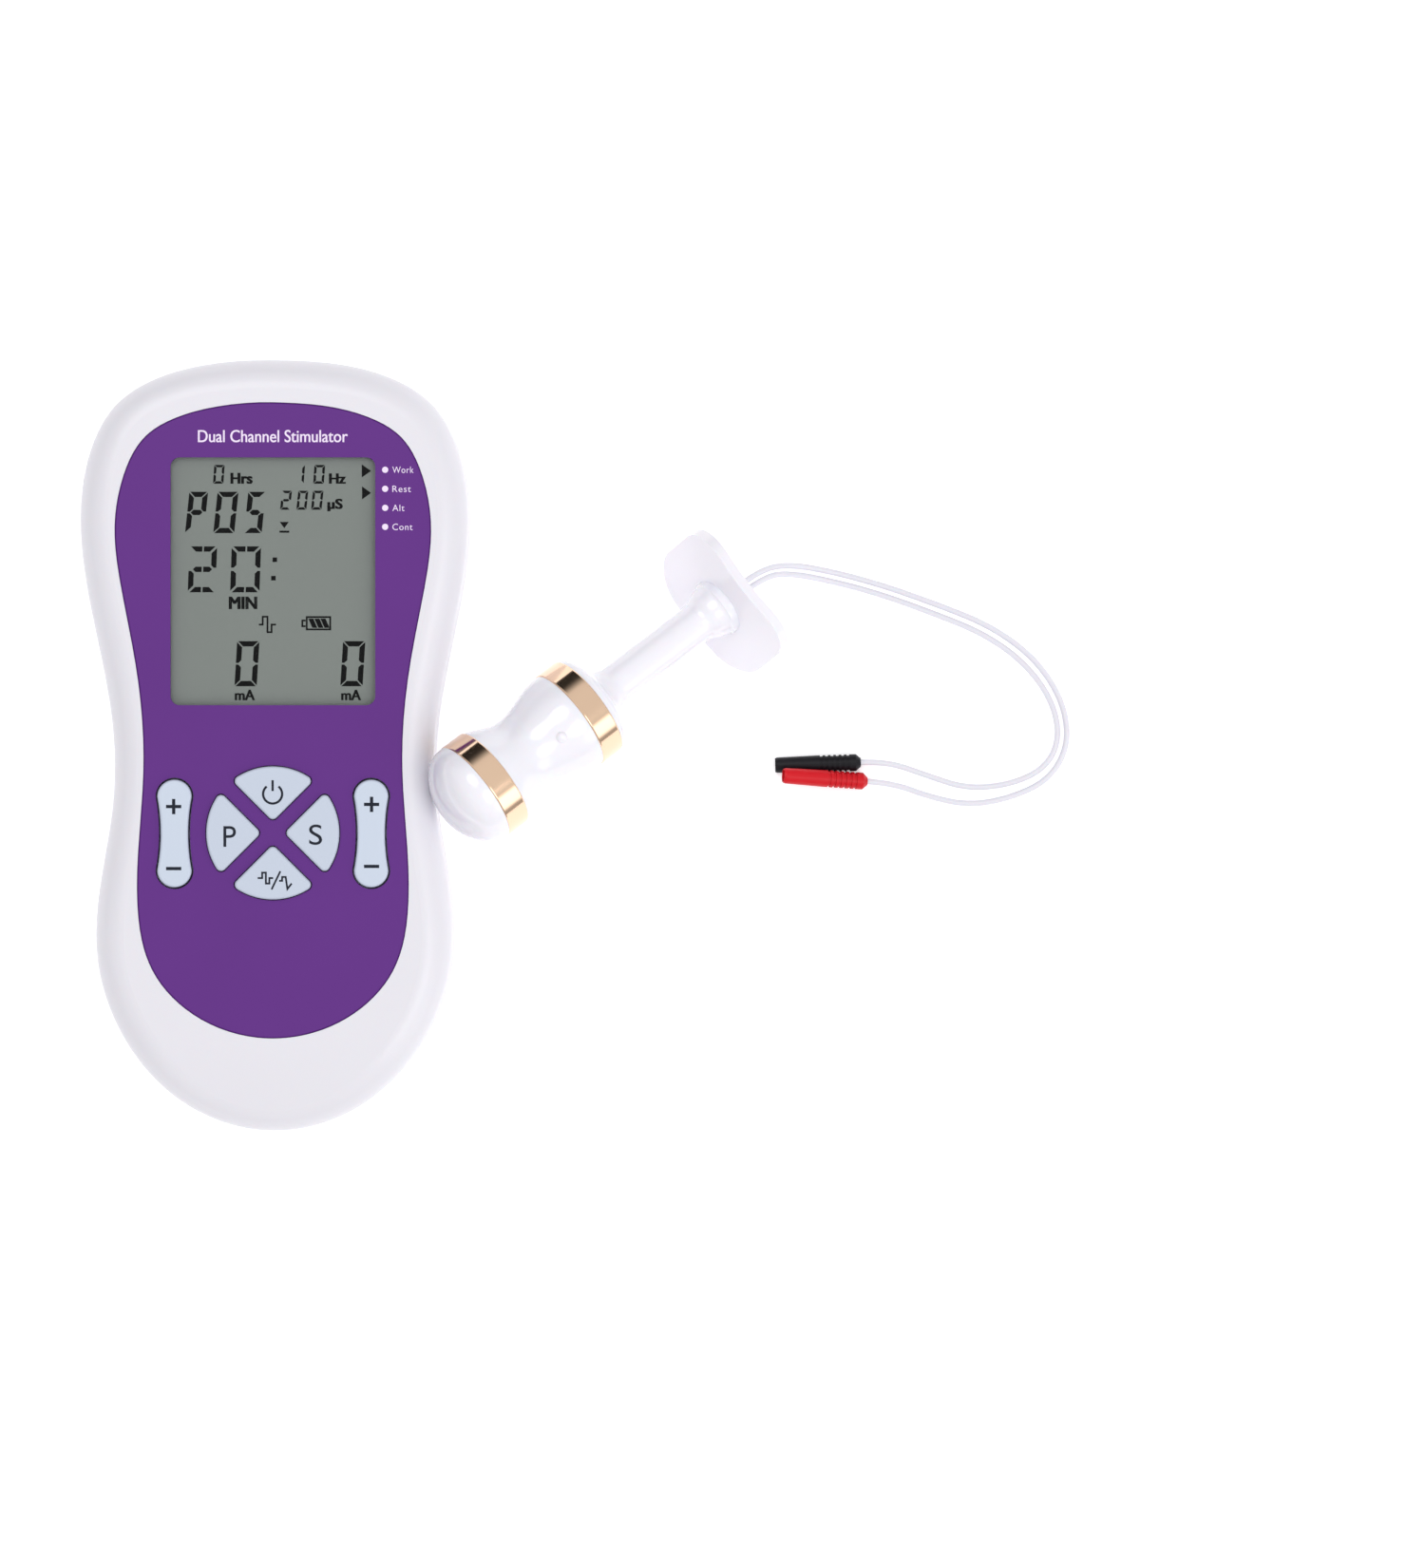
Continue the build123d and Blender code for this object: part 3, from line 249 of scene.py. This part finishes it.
white_shell = moulding("white_shell", srgb(226, 224, 231), 0.36, drift=0.006, grain=0.12,
                       Subsurface_Weight=0.06, Subsurface_Scale=0.002, Coat_Weight=0.15, Coat_Roughness=0.2)
rear_texture = moulding("rear_texture", srgb(230, 228, 234), 0.45, drift=0.006, grain_scale=2200.0,
                        grain=0.35, grain_depth=0.00003)
purple = moulding("purple_panel", srgb(97, 46, 132), 0.4, drift=0.02, drift_scale=40.0, grain=0.06,
                  Specular_IOR_Level=0.15)
window_clear = moulding("window_clear", srgb(40, 44, 42), 0.12, drift=0.01, Alpha=0.03,
                        Specular_IOR_Level=0.15)
display_grey = moulding("display_grey", srgb(133, 139, 135), 0.5, drift=0.012, drift_scale=30.0, grain=0.05,
                        Specular_IOR_Level=0.1)
key_pad = moulding("key_pad", srgb(194, 203, 219), 0.42, drift=0.008, grain=0.15)
rocker_pad = moulding("rocker_pad", srgb(199, 209, 225), 0.42, drift=0.008, grain=0.15)
ink_dark = moulding("ink_dark", srgb(18, 25, 40), 0.5, drift=0.05, Specular_IOR_Level=0.2)
ink_white = moulding("ink_white", srgb(236, 220, 244), 0.5, drift=0.02)
segment_dark = moulding("segment_dark", srgb(5, 6, 7), 0.5, drift=0.08, Specular_IOR_Level=0.1)
white_probe = moulding("white_probe", srgb(242, 240, 248), 0.16, drift=0.005, grain=0.04,
                       Subsurface_Weight=0.1, Subsurface_Scale=0.003, Coat_Weight=0.5, Coat_Roughness=0.06)
gold = plated("gold_plating", srgb(246, 212, 182), 0.1, (0, PROBE_PITCH, PROBE_TURN), 700.0, 0.000004)
nickel = moulding("nickel", srgb(200, 200, 205), 0.22, drift=0.03, Metallic=1.0)
steel = moulding("steel", srgb(176, 178, 182), 0.3, drift=0.04, Metallic=1.0)
copper = moulding("copper_wire", srgb(206, 128, 88), 0.25, drift=0.05, Metallic=1.0)
lead_white = moulding("lead_white", srgb(227, 226, 235), 0.38, drift=0.01, grain=0.15, Subsurface_Weight=0.1,
                      Subsurface_Scale=0.001)
sleeve_red = moulding("sleeve_red", srgb(208, 15, 30), 0.42, drift=0.05, grain=0.25, Specular_IOR_Level=0.25)
sleeve_black = moulding("sleeve_black", srgb(20, 19, 25), 0.45, drift=0.08, grain=0.25,
                        Specular_IOR_Level=0.2)
jack_black = moulding("jack_black", srgb(24, 24, 27), 0.4, drift=0.06)
silicone = moulding("silicone", srgb(190, 193, 198), 0.6, drift=0.02, grain=0.3)
carbon = moulding("carbon", srgb(22, 22, 22), 0.7, drift=0.1)
zebra = moulding("zebra", srgb(70, 70, 74), 0.6, drift=0.3, drift_scale=400.0)
diffuser = moulding("diffuser", srgb(232, 236, 232), 0.4)
frame_black = moulding("frame_black", srgb(24, 24, 26), 0.5)
board_green = moulding("board_green", srgb(16, 82, 44), 0.35, drift=0.12, drift_scale=500.0, Coat_Weight=0.4)
chip_black = moulding("chip_black", srgb(26, 26, 28), 0.45, drift=0.06)
can_metal = moulding("can_metal", srgb(196, 198, 202), 0.25, drift=0.03, Metallic=1.0)
winding = moulding("winding_tape", srgb(206, 170, 70), 0.4, drift=0.08, drift_scale=300.0)
cell_wrap = wrapped_cell("cell_wrap")

NODE_LOOKS = {
    white_shell: ["front_shell"],
    rear_texture: ["rear_shell", "battery_door"],
    purple: ["face_panel"],
    window_clear: ["display_window"],
    display_grey: ["display_cell"],
    key_pad: ["key_power", "key_program", "key_set", "key_waveform"],
    rocker_pad: ["rocker_left", "rocker_right"],
    white_probe: ["probe_tip", "probe_waist", "probe_stem", "probe_flange"],
    gold: ["ring_electrode_front", "ring_electrode_rear"],
    nickel: ["contact_red", "contact_black"],
    steel: ["spring_contacts", "case_screws", "rocker_pin_left", "rocker_pin_right", "button_contacts"],
    copper: ["ring_wire_front", "ring_wire_rear"],
    lead_white: ["lead_grommet", "lead_red", "lead_black"],
    sleeve_red: ["connector_red"],
    sleeve_black: ["connector_black"],
    jack_black: ["output_jack_left", "output_jack_right"],
    silicone: ["keypad_mat", "dome_power", "dome_program", "dome_set", "dome_waveform", "rocker_domes_left",
               "rocker_domes_right"],
    carbon: ["pill_power", "pill_program", "pill_set", "pill_waveform", "rocker_pills_left",
             "rocker_pills_right"],
    zebra: ["zebra_strips"],
    diffuser: ["display_backlight"],
    frame_black: ["display_frame"],
    board_green: ["main_board"],
    chip_black: ["control_chip", "buzzer"],
    can_metal: ["capacitors"],
    winding: ["output_transformers"],
    cell_wrap: ["battery_cells"],
}
for material, names in NODE_LOOKS.items():
    for name in names:
        nodes[name].data.materials.clear()
        nodes[name].data.materials.append(material)
for piece in lead_pieces.values():
    piece.data.materials.append(lead_white)


# ------------------------------------------------------------------ flat artwork
def flat_piece(name, outlines, bottom, thickness, material, body):
    """Closed outlines in millimetres, each raised from the height bottom, as one piece that rides on body."""
    work = bmesh.new()
    for outline in outlines:
        lower = [work.verts.new((x * MM, y * MM, bottom * MM)) for x, y in outline]
        upper = [work.verts.new((x * MM, y * MM, (bottom + thickness) * MM)) for x, y in outline]
        work.faces.new(lower)
        work.faces.new(upper)
        for here in range(len(outline)):
            after = (here + 1) % len(outline)
            work.faces.new((lower[here], lower[after], upper[after], upper[here]))
    bmesh.ops.recalc_face_normals(work, faces=work.faces)
    mesh = bpy.data.meshes.new(name)
    work.to_mesh(mesh)
    work.free()
    mesh.materials.append(material)
    piece = bpy.data.objects.new(name, mesh)
    scene.collection.objects.link(piece)
    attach(piece, body)
    return piece


def stroke(points, width):
    """The outline of a line of that width through points, with mitred corners and square ends."""
    points = [Vector(point) for point in points]
    left, right = [], []
    for here, point in enumerate(points):
        before = (point - points[here - 1]).normalized() if here else None
        after = (points[here + 1] - point).normalized() if here + 1 < len(points) else None
        before = before or after
        after = after or before
        middle = (before + after).normalized()
        normal = Vector((-middle.y, middle.x))
        reach = width / 2 / max(0.3, normal.dot(Vector((-before.y, before.x))))
        left.append(tuple(point + normal * reach))
        right.append(tuple(point - normal * reach))
    return left + right[::-1]


def arc(centre, radius, start, end, steps=40):
    """Points on a circle from start to end degrees, counted from +X."""
    turns = [math.radians(start + (end - start) * step / steps) for step in range(steps + 1)]
    return [(centre[0] + radius * math.cos(turn), centre[1] + radius * math.sin(turn)) for turn in turns]


def lettering(name, words, left, right, baseline, cap_top, bottom, thickness, material, body, weight=0.0,
              spacing=1.0, bold=0.0):
    """Words in the plain built-in font, fitted between left and right and from baseline to cap_top.

    Bold letters are set twice, that far apart along the line, one a little proud of the other.
    """
    def outline_mesh(text):
        font_curve = bpy.data.curves.new(name, "FONT")
        font_curve.body = text
        font_curve.offset = weight
        font_curve.space_character = spacing
        font_curve.extrude = 0.5
        font_curve.resolution_u = 6
        holder = bpy.data.objects.new(name, font_curve)
        scene.collection.objects.link(holder)
        bpy.context.view_layer.update()
        made = bpy.data.meshes.new_from_object(holder.evaluated_get(bpy.context.evaluated_depsgraph_get()))
        bpy.data.objects.remove(holder)
        return made

    cap = outline_mesh("H")
    cap_height = max(v.co.y for v in cap.vertices)
    bpy.data.meshes.remove(cap)
    mesh = outline_mesh(words)
    low = min(v.co.x for v in mesh.vertices)
    high = max(v.co.x for v in mesh.vertices)
    for vertex in mesh.vertices:
        x = left + (vertex.co.x - low) * (right - bold - left) / (high - low)
        y = baseline + vertex.co.y * (cap_top - baseline) / cap_height
        z = bottom + (vertex.co.z + 0.5) * thickness
        vertex.co = (x * MM, y * MM, z * MM)
    if bold:
        work = bmesh.new()
        work.from_mesh(mesh)
        copied = bmesh.ops.duplicate(work, geom=work.verts[:] + work.edges[:] + work.faces[:])
        moved = [item for item in copied["geom"] if isinstance(item, bmesh.types.BMVert)]
        bmesh.ops.translate(work, verts=moved, vec=(bold * MM, 0, BOLD_STEP * MM))
        work.to_mesh(mesh)
        work.free()
    mesh.name = name
    mesh.materials.clear()
    mesh.materials.append(material)
    piece = bpy.data.objects.new(name, mesh)
    scene.collection.objects.link(piece)
    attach(piece, body)
    return piece


INK = 0.03
INK_SINK = 0.01
BOLD_STEP = 0.004
PANEL_INK_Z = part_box("face_panel")[1].z / MM - INK_SINK
KEY_INK_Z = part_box("key_power")[1].z / MM - INK_SINK
ROCKER_INK_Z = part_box("rocker_left")[1].z / MM - INK_SINK
DISPLAY_INK_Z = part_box("display_cell")[1].z / MM - INK_SINK

# Heading and mode list on the panel.
lettering("panel_heading", "Dual Channel Stimulator", -13.8, 13.8, 55.8, 58.0, PANEL_INK_Z, INK, ink_white,
          "controller", weight=0.003, bold=0.06)
MODE_X = 20.66
MODE_LABEL_X = 22.0
MODE_DOT_RADIUS = 0.57
MODE_CAP_HALF = 0.58
MODE_SPACING = 1.12
MODES = [
    # name, words, right end, height on the face
    ("work", "Work", 25.9, 50.7),
    ("rest", "Rest", 25.4, 47.2),
    ("alternate", "Alt", 24.2, 43.7),
    ("constant", "Cont", 25.7, 40.2),
]
flat_piece("mode_dots", [arc((MODE_X, y), MODE_DOT_RADIUS, 0, 352, 44) for _, _, _, y in MODES], PANEL_INK_Z,
           INK, ink_white, "controller")
for name, words, right, y in MODES:
    lettering("mode_" + name, words, MODE_LABEL_X, right, y - MODE_CAP_HALF, y + MODE_CAP_HALF, PANEL_INK_Z,
              INK, ink_white, "controller", spacing=MODE_SPACING)

# Legends on the keys and rockers.
CLUSTER_Y = -16.1
POWER_RADIUS = 1.75
POWER_HALF_GAP = 38
LEGEND_WIDTH = 0.42
flat_piece("legend_power",
           [stroke(arc((0, CLUSTER_Y + 7.16), POWER_RADIUS, 90 + POWER_HALF_GAP, 450 - POWER_HALF_GAP),
                   LEGEND_WIDTH),
            stroke([(0, CLUSTER_Y + 7.7), (0, CLUSTER_Y + 9.7)], LEGEND_WIDTH)],
           KEY_INK_Z, INK, ink_dark, "key_power")
lettering("legend_program", "P", -9.05, -6.75, CLUSTER_Y - 2.55, CLUSTER_Y + 1.25, KEY_INK_Z, INK, ink_dark,
          "key_program")
lettering("legend_set", "S", 6.7, 9.1, CLUSTER_Y - 2.15, CLUSTER_Y + 1.5, KEY_INK_Z, INK, ink_dark, "key_set")
# Two pulse traces with a slash between them.
PULSE_WIDTH = 0.34
flat_piece("legend_waveform",
           [stroke([(-2.75, -24.4), (-1.92, -24.4), (-1.92, -23.4), (-1.24, -23.4), (-1.24, -25.4),
                    (-0.6, -25.4), (-0.6, -24.4), (0.1, -24.4)], PULSE_WIDTH),
            stroke([(-0.2, -26.5), (1.42, -23.15)], PULSE_WIDTH),
            stroke([(1.2, -24.9), (1.75, -24.9), (1.75, -24.2), (2.4, -24.2), (2.72, -26.4), (3.5, -25.4)],
                   PULSE_WIDTH)],
           KEY_INK_Z, INK, ink_dark, "key_waveform")
# A plus in two bars and two short stubs, so that no two outlines lie on one another, and a minus.
ROCKER_X = 18.2
SIGN_HALF = 1.4
SIGN_WIDTH = 0.6
SIGN_PITCH = 11.4
for name, x, plus_y in (("left", -ROCKER_X, -11.25), ("right", ROCKER_X, -10.85)):
    minus_y = plus_y - SIGN_PITCH
    half = SIGN_WIDTH / 2
    flat_piece("legend_plus_minus_" + name,
               [stroke([(x - SIGN_HALF, plus_y), (x + SIGN_HALF, plus_y)], SIGN_WIDTH),
                stroke([(x, plus_y + half), (x, plus_y + SIGN_HALF)], SIGN_WIDTH),
                stroke([(x, plus_y - SIGN_HALF), (x, plus_y - half)], SIGN_WIDTH),
                stroke([(x - SIGN_HALF, minus_y), (x + SIGN_HALF, minus_y)], SIGN_WIDTH)],
               ROCKER_INK_Z, INK, ink_dark, "rocker_" + name)

# ------------------------------------------------------------------ liquid crystal display
LIT = {"0": "abcdef", "1": "bc", "2": "abged", "5": "afgcd", "P": "abefg"}


def seven_segments(character, left, right, bottom, top, width, slant, gap, split=False):
    """Outlines of a character's lit segments in the box given; split parts the flat ones in the middle."""
    height = top - bottom
    lean = math.tan(math.radians(slant))
    across = right - left - height * lean
    middle = height / 2
    half = width / 2
    shapes = {
        "a": [(gap, height), (across - gap, height), (across - width - gap, height - width),
              (width + gap, height - width)],
        "d": [(gap, 0), (across - gap, 0), (across - width - gap, width), (width + gap, width)],
        "g": [(half + gap, middle), (width + gap, middle + half), (across - width - gap, middle + half),
              (across - half - gap, middle), (across - width - gap, middle - half),
              (width + gap, middle - half)],
        "f": [(0, height - gap), (width, height - width - gap), (width, middle + half + gap),
              (half, middle + gap), (0, middle + gap)],
        "e": [(0, gap), (width, width + gap), (width, middle - half - gap), (half, middle - gap),
              (0, middle - gap)],
    }
    shapes["b"] = [(across - x, y) for x, y in shapes["f"]]
    shapes["c"] = [(across - x, y) for x, y in shapes["e"]]
    outlines = []
    for segment in LIT[character]:
        shape = shapes[segment]
        if split and segment in "adg":
            centre = across / 2
            outlines.append([(min(x, centre - gap / 2), y) for x, y in shape])
            outlines.append([(max(x, centre + gap / 2), y) for x, y in shape])
        else:
            outlines.append(shape)
    return [[(left + x + y * lean, bottom + y) for x, y in shape] for shape in outlines]


DIGITS = [
    # character, left, right, bottom, top, stroke, slant, gap, split
    ("0", -11.1, -8.95, 48.2, 51.65, 0.45, 4, 0.08, False),
    ("1", 3.6, 5.85, 48.25, 51.65, 0.45, 4, 0.08, False),
    ("0", 7.35, 9.55, 48.2, 51.65, 0.45, 4, 0.08, False),
    ("P", -16.25, -12.0, 39.1, 46.7, 0.95, 6, 0.16, False),
    ("0", -11.05, -6.4, 39.1, 46.7, 0.95, 6, 0.16, False),
    ("5", -5.4, -1.35, 39.1, 46.7, 0.95, 6, 0.16, False),
    ("2", 1.25, 3.45, 43.4, 46.9, 0.45, 6, 0.08, False),
    ("0", 4.25, 6.45, 43.4, 46.9, 0.45, 6, 0.08, False),
    ("0", 6.95, 9.25, 43.4, 46.9, 0.45, 6, 0.08, False),
    ("2", -15.75, -10.35, 28.2, 36.65, 0.97, 2, 0.3, True),
    ("0", -7.95, -2.25, 28.2, 36.65, 0.97, 2, 0.3, True),
    ("0", -7.15, -2.55, 10.9, 19.2, 0.97, 3.5, 0.16, False),
    ("0", 12.35, 16.95, 10.9, 19.2, 0.97, 3.5, 0.16, False),
]
digit_outlines = [outline for digit in DIGITS for outline in seven_segments(*digit)]
flat_piece("display_digits", digit_outlines, DISPLAY_INK_Z, INK, segment_dark, "controller")

COLON_HALF = 0.42
ICON_WIDTH = 0.32
icons = [
    # Colon after the minutes.
    [(x + dx * COLON_HALF, y + dy * COLON_HALF) for dx, dy in ((-1, -1), (1, -1), (1, 1), (-1, 1))]
    for x, y in ((0.28, 34.2), (0.02, 30.8))
]
icons += [
    # Two mode pointers at the right, and the mark below the pulse width.
    [(16.3, 51.75), (18.0, 50.55), (16.3, 49.35)],
    [(16.35, 47.7), (18.0, 46.5), (16.35, 45.3)],
    [(1.2, 41.15), (2.85, 41.15), (2.03, 40.0)],
    stroke([(1.15, 39.35), (2.95, 39.35)], 0.36),
    # Pulse trace.
    stroke([(-2.65, 22.25), (-1.95, 22.25), (-1.95, 23.7), (-1.07, 23.7), (-1.07, 20.85), (-0.32, 20.85),
            (-0.32, 22.25), (0.5, 22.25)], ICON_WIDTH),
]
# Battery mark: a mitred frame with a terminal, and three slanted bars.
BATTERY_LEFT, BATTERY_RIGHT, BATTERY_LOW, BATTERY_HIGH = 6.0, 10.65, 21.2, 23.8
battery_corners = [(BATTERY_LEFT, BATTERY_LOW), (BATTERY_RIGHT, BATTERY_LOW), (BATTERY_RIGHT, BATTERY_HIGH),
                   (BATTERY_LEFT, BATTERY_HIGH)]
inner_corners = [(BATTERY_LEFT + ICON_WIDTH, BATTERY_LOW + ICON_WIDTH),
                 (BATTERY_RIGHT - ICON_WIDTH, BATTERY_LOW + ICON_WIDTH),
                 (BATTERY_RIGHT - ICON_WIDTH, BATTERY_HIGH - ICON_WIDTH),
                 (BATTERY_LEFT + ICON_WIDTH, BATTERY_HIGH - ICON_WIDTH)]
icons += [[battery_corners[i], battery_corners[(i + 1) % 4], inner_corners[(i + 1) % 4], inner_corners[i]]
          for i in range(4)]
icons += [stroke([(5.95, 23.0), (5.35, 23.0), (5.35, 21.95), (5.95, 21.95)], ICON_WIDTH)]
BAR_WIDTH, BAR_LEAN, BAR_PITCH = 0.92, 0.75, 1.12
BAR_LEFT, BAR_LOW, BAR_HIGH = 6.45, 21.65, 23.35
icons += [[(x, BAR_HIGH), (x + BAR_WIDTH, BAR_HIGH), (x + BAR_WIDTH + BAR_LEAN, BAR_LOW),
           (x + BAR_LEAN, BAR_LOW)] for x in (BAR_LEFT + BAR_PITCH * bar for bar in range(3))]
flat_piece("display_icons", icons, DISPLAY_INK_Z, INK, segment_dark, "controller")

DISPLAY_WORDS = [
    # name, words, left, right, baseline, cap top, weight, bold
    ("hours", "Hrs", -7.9, -3.8, 48.25, 50.2, 0.02, 0.18),
    ("hertz", "Hz", 10.25, 13.4, 48.25, 50.1, 0.02, 0.18),
    ("microseconds", "µS", 9.95, 12.8, 43.6, 45.4, 0.02, 0.18),
    ("minutes", "MIN", -8.2, -2.95, 25.1, 27.4, 0.0, 0.3),
    ("milliamps_left", "mA", -7.1, -3.35, 8.35, 10.25, 0.01, 0.16),
    ("milliamps_right", "mA", 12.5, 16.2, 8.35, 10.25, 0.01, 0.16),
]
for name, words, left, right, baseline, cap_top, weight, bold in DISPLAY_WORDS:
    lettering("display_" + name, words, left, right, baseline, cap_top, DISPLAY_INK_Z, INK, segment_dark,
              "controller", weight=weight, bold=bold)

# ------------------------------------------------------------------ floor, light and surroundings
floor_mesh = bpy.data.meshes.new("floor")
FLOOR_HALF = 3.0
floor_mesh.from_pydata([(-FLOOR_HALF, -FLOOR_HALF, 0), (FLOOR_HALF, -FLOOR_HALF, 0),
                        (FLOOR_HALF, FLOOR_HALF, 0), (-FLOOR_HALF, FLOOR_HALF, 0)], [], [(0, 1, 2, 3)])
floor = bpy.data.objects.new("floor", floor_mesh)
scene.collection.objects.link(floor)
floor_mesh.materials.append(moulding("floor_white", srgb(246, 246, 248), 0.9, drift=0.0,
                                     Emission_Color=(1, 1, 1, 1), Emission_Strength=0.36))


def soft_light(name, place, target, size, power):
    """A round area light at place, facing target."""
    light = bpy.data.lights.new(name, "AREA")
    light.shape = "DISK"
    light.size = size
    light.energy = power
    holder = bpy.data.objects.new(name, light)
    holder.location = place
    holder.rotation_euler = (Vector(target) - Vector(place)).to_track_quat("-Z", "Y").to_euler()
    scene.collection.objects.link(holder)


LIT_POINT = (0.06, 0, 0)
soft_light("key_light", (-0.35, 0.75, 2.1), LIT_POINT, 1.2, 10)
soft_light("fill_light", (0.95, -0.45, 1.8), LIT_POINT, 1.1, 8)

world = bpy.data.worlds.new("studio")
scene.world = world
world.use_nodes = True
sky = world.node_tree
direction = sky.nodes.new("ShaderNodeTexCoord")


def toward(aim, near, far, value_far, value_near):
    """A value that runs from value_far to value_near as the direction comes within near degrees of aim."""
    along = sky.nodes.new("ShaderNodeVectorMath")
    along.operation = "DOT_PRODUCT"
    along.inputs[1].default_value = Vector(aim).normalized()
    fade = sky.nodes.new("ShaderNodeMapRange")
    fade.interpolation_type = "SMOOTHSTEP"
    fade.inputs["From Min"].default_value = math.cos(math.radians(far))
    fade.inputs["From Max"].default_value = math.cos(math.radians(near))
    fade.inputs["To Min"].default_value = value_far
    fade.inputs["To Max"].default_value = value_near
    sky.links.new(direction.outputs["Generated"], along.inputs[0])
    sky.links.new(along.outputs["Value"], fade.inputs["Value"])
    return fade.outputs["Result"]


def combined(operation, first, second):
    """The two values joined by the arithmetic operation given."""
    joined = sky.nodes.new("ShaderNodeMath")
    joined.operation = operation
    sky.links.new(first, joined.inputs[0])
    sky.links.new(second, joined.inputs[1])
    return joined.outputs["Value"]


# A bright dome, a dark side screen beyond the display end and a bright card low on the right.
dome_light = toward((0, 0, 1), 40, 95, 0.38, 0.78)
screen = toward((-0.36, 0.93, 0.05), 14, 40, 1.0, 0.06)
card = toward((0.8, -0.42, 0.42), 7, 20, 0.0, 1.3)
sky.links.new(combined("ADD", combined("MULTIPLY", dome_light, screen), card),
              sky.nodes["Background"].inputs["Strength"])
sky.nodes["Background"].inputs["Color"].default_value = (1, 1, 1, 1)

bpy.context.view_layer.update()
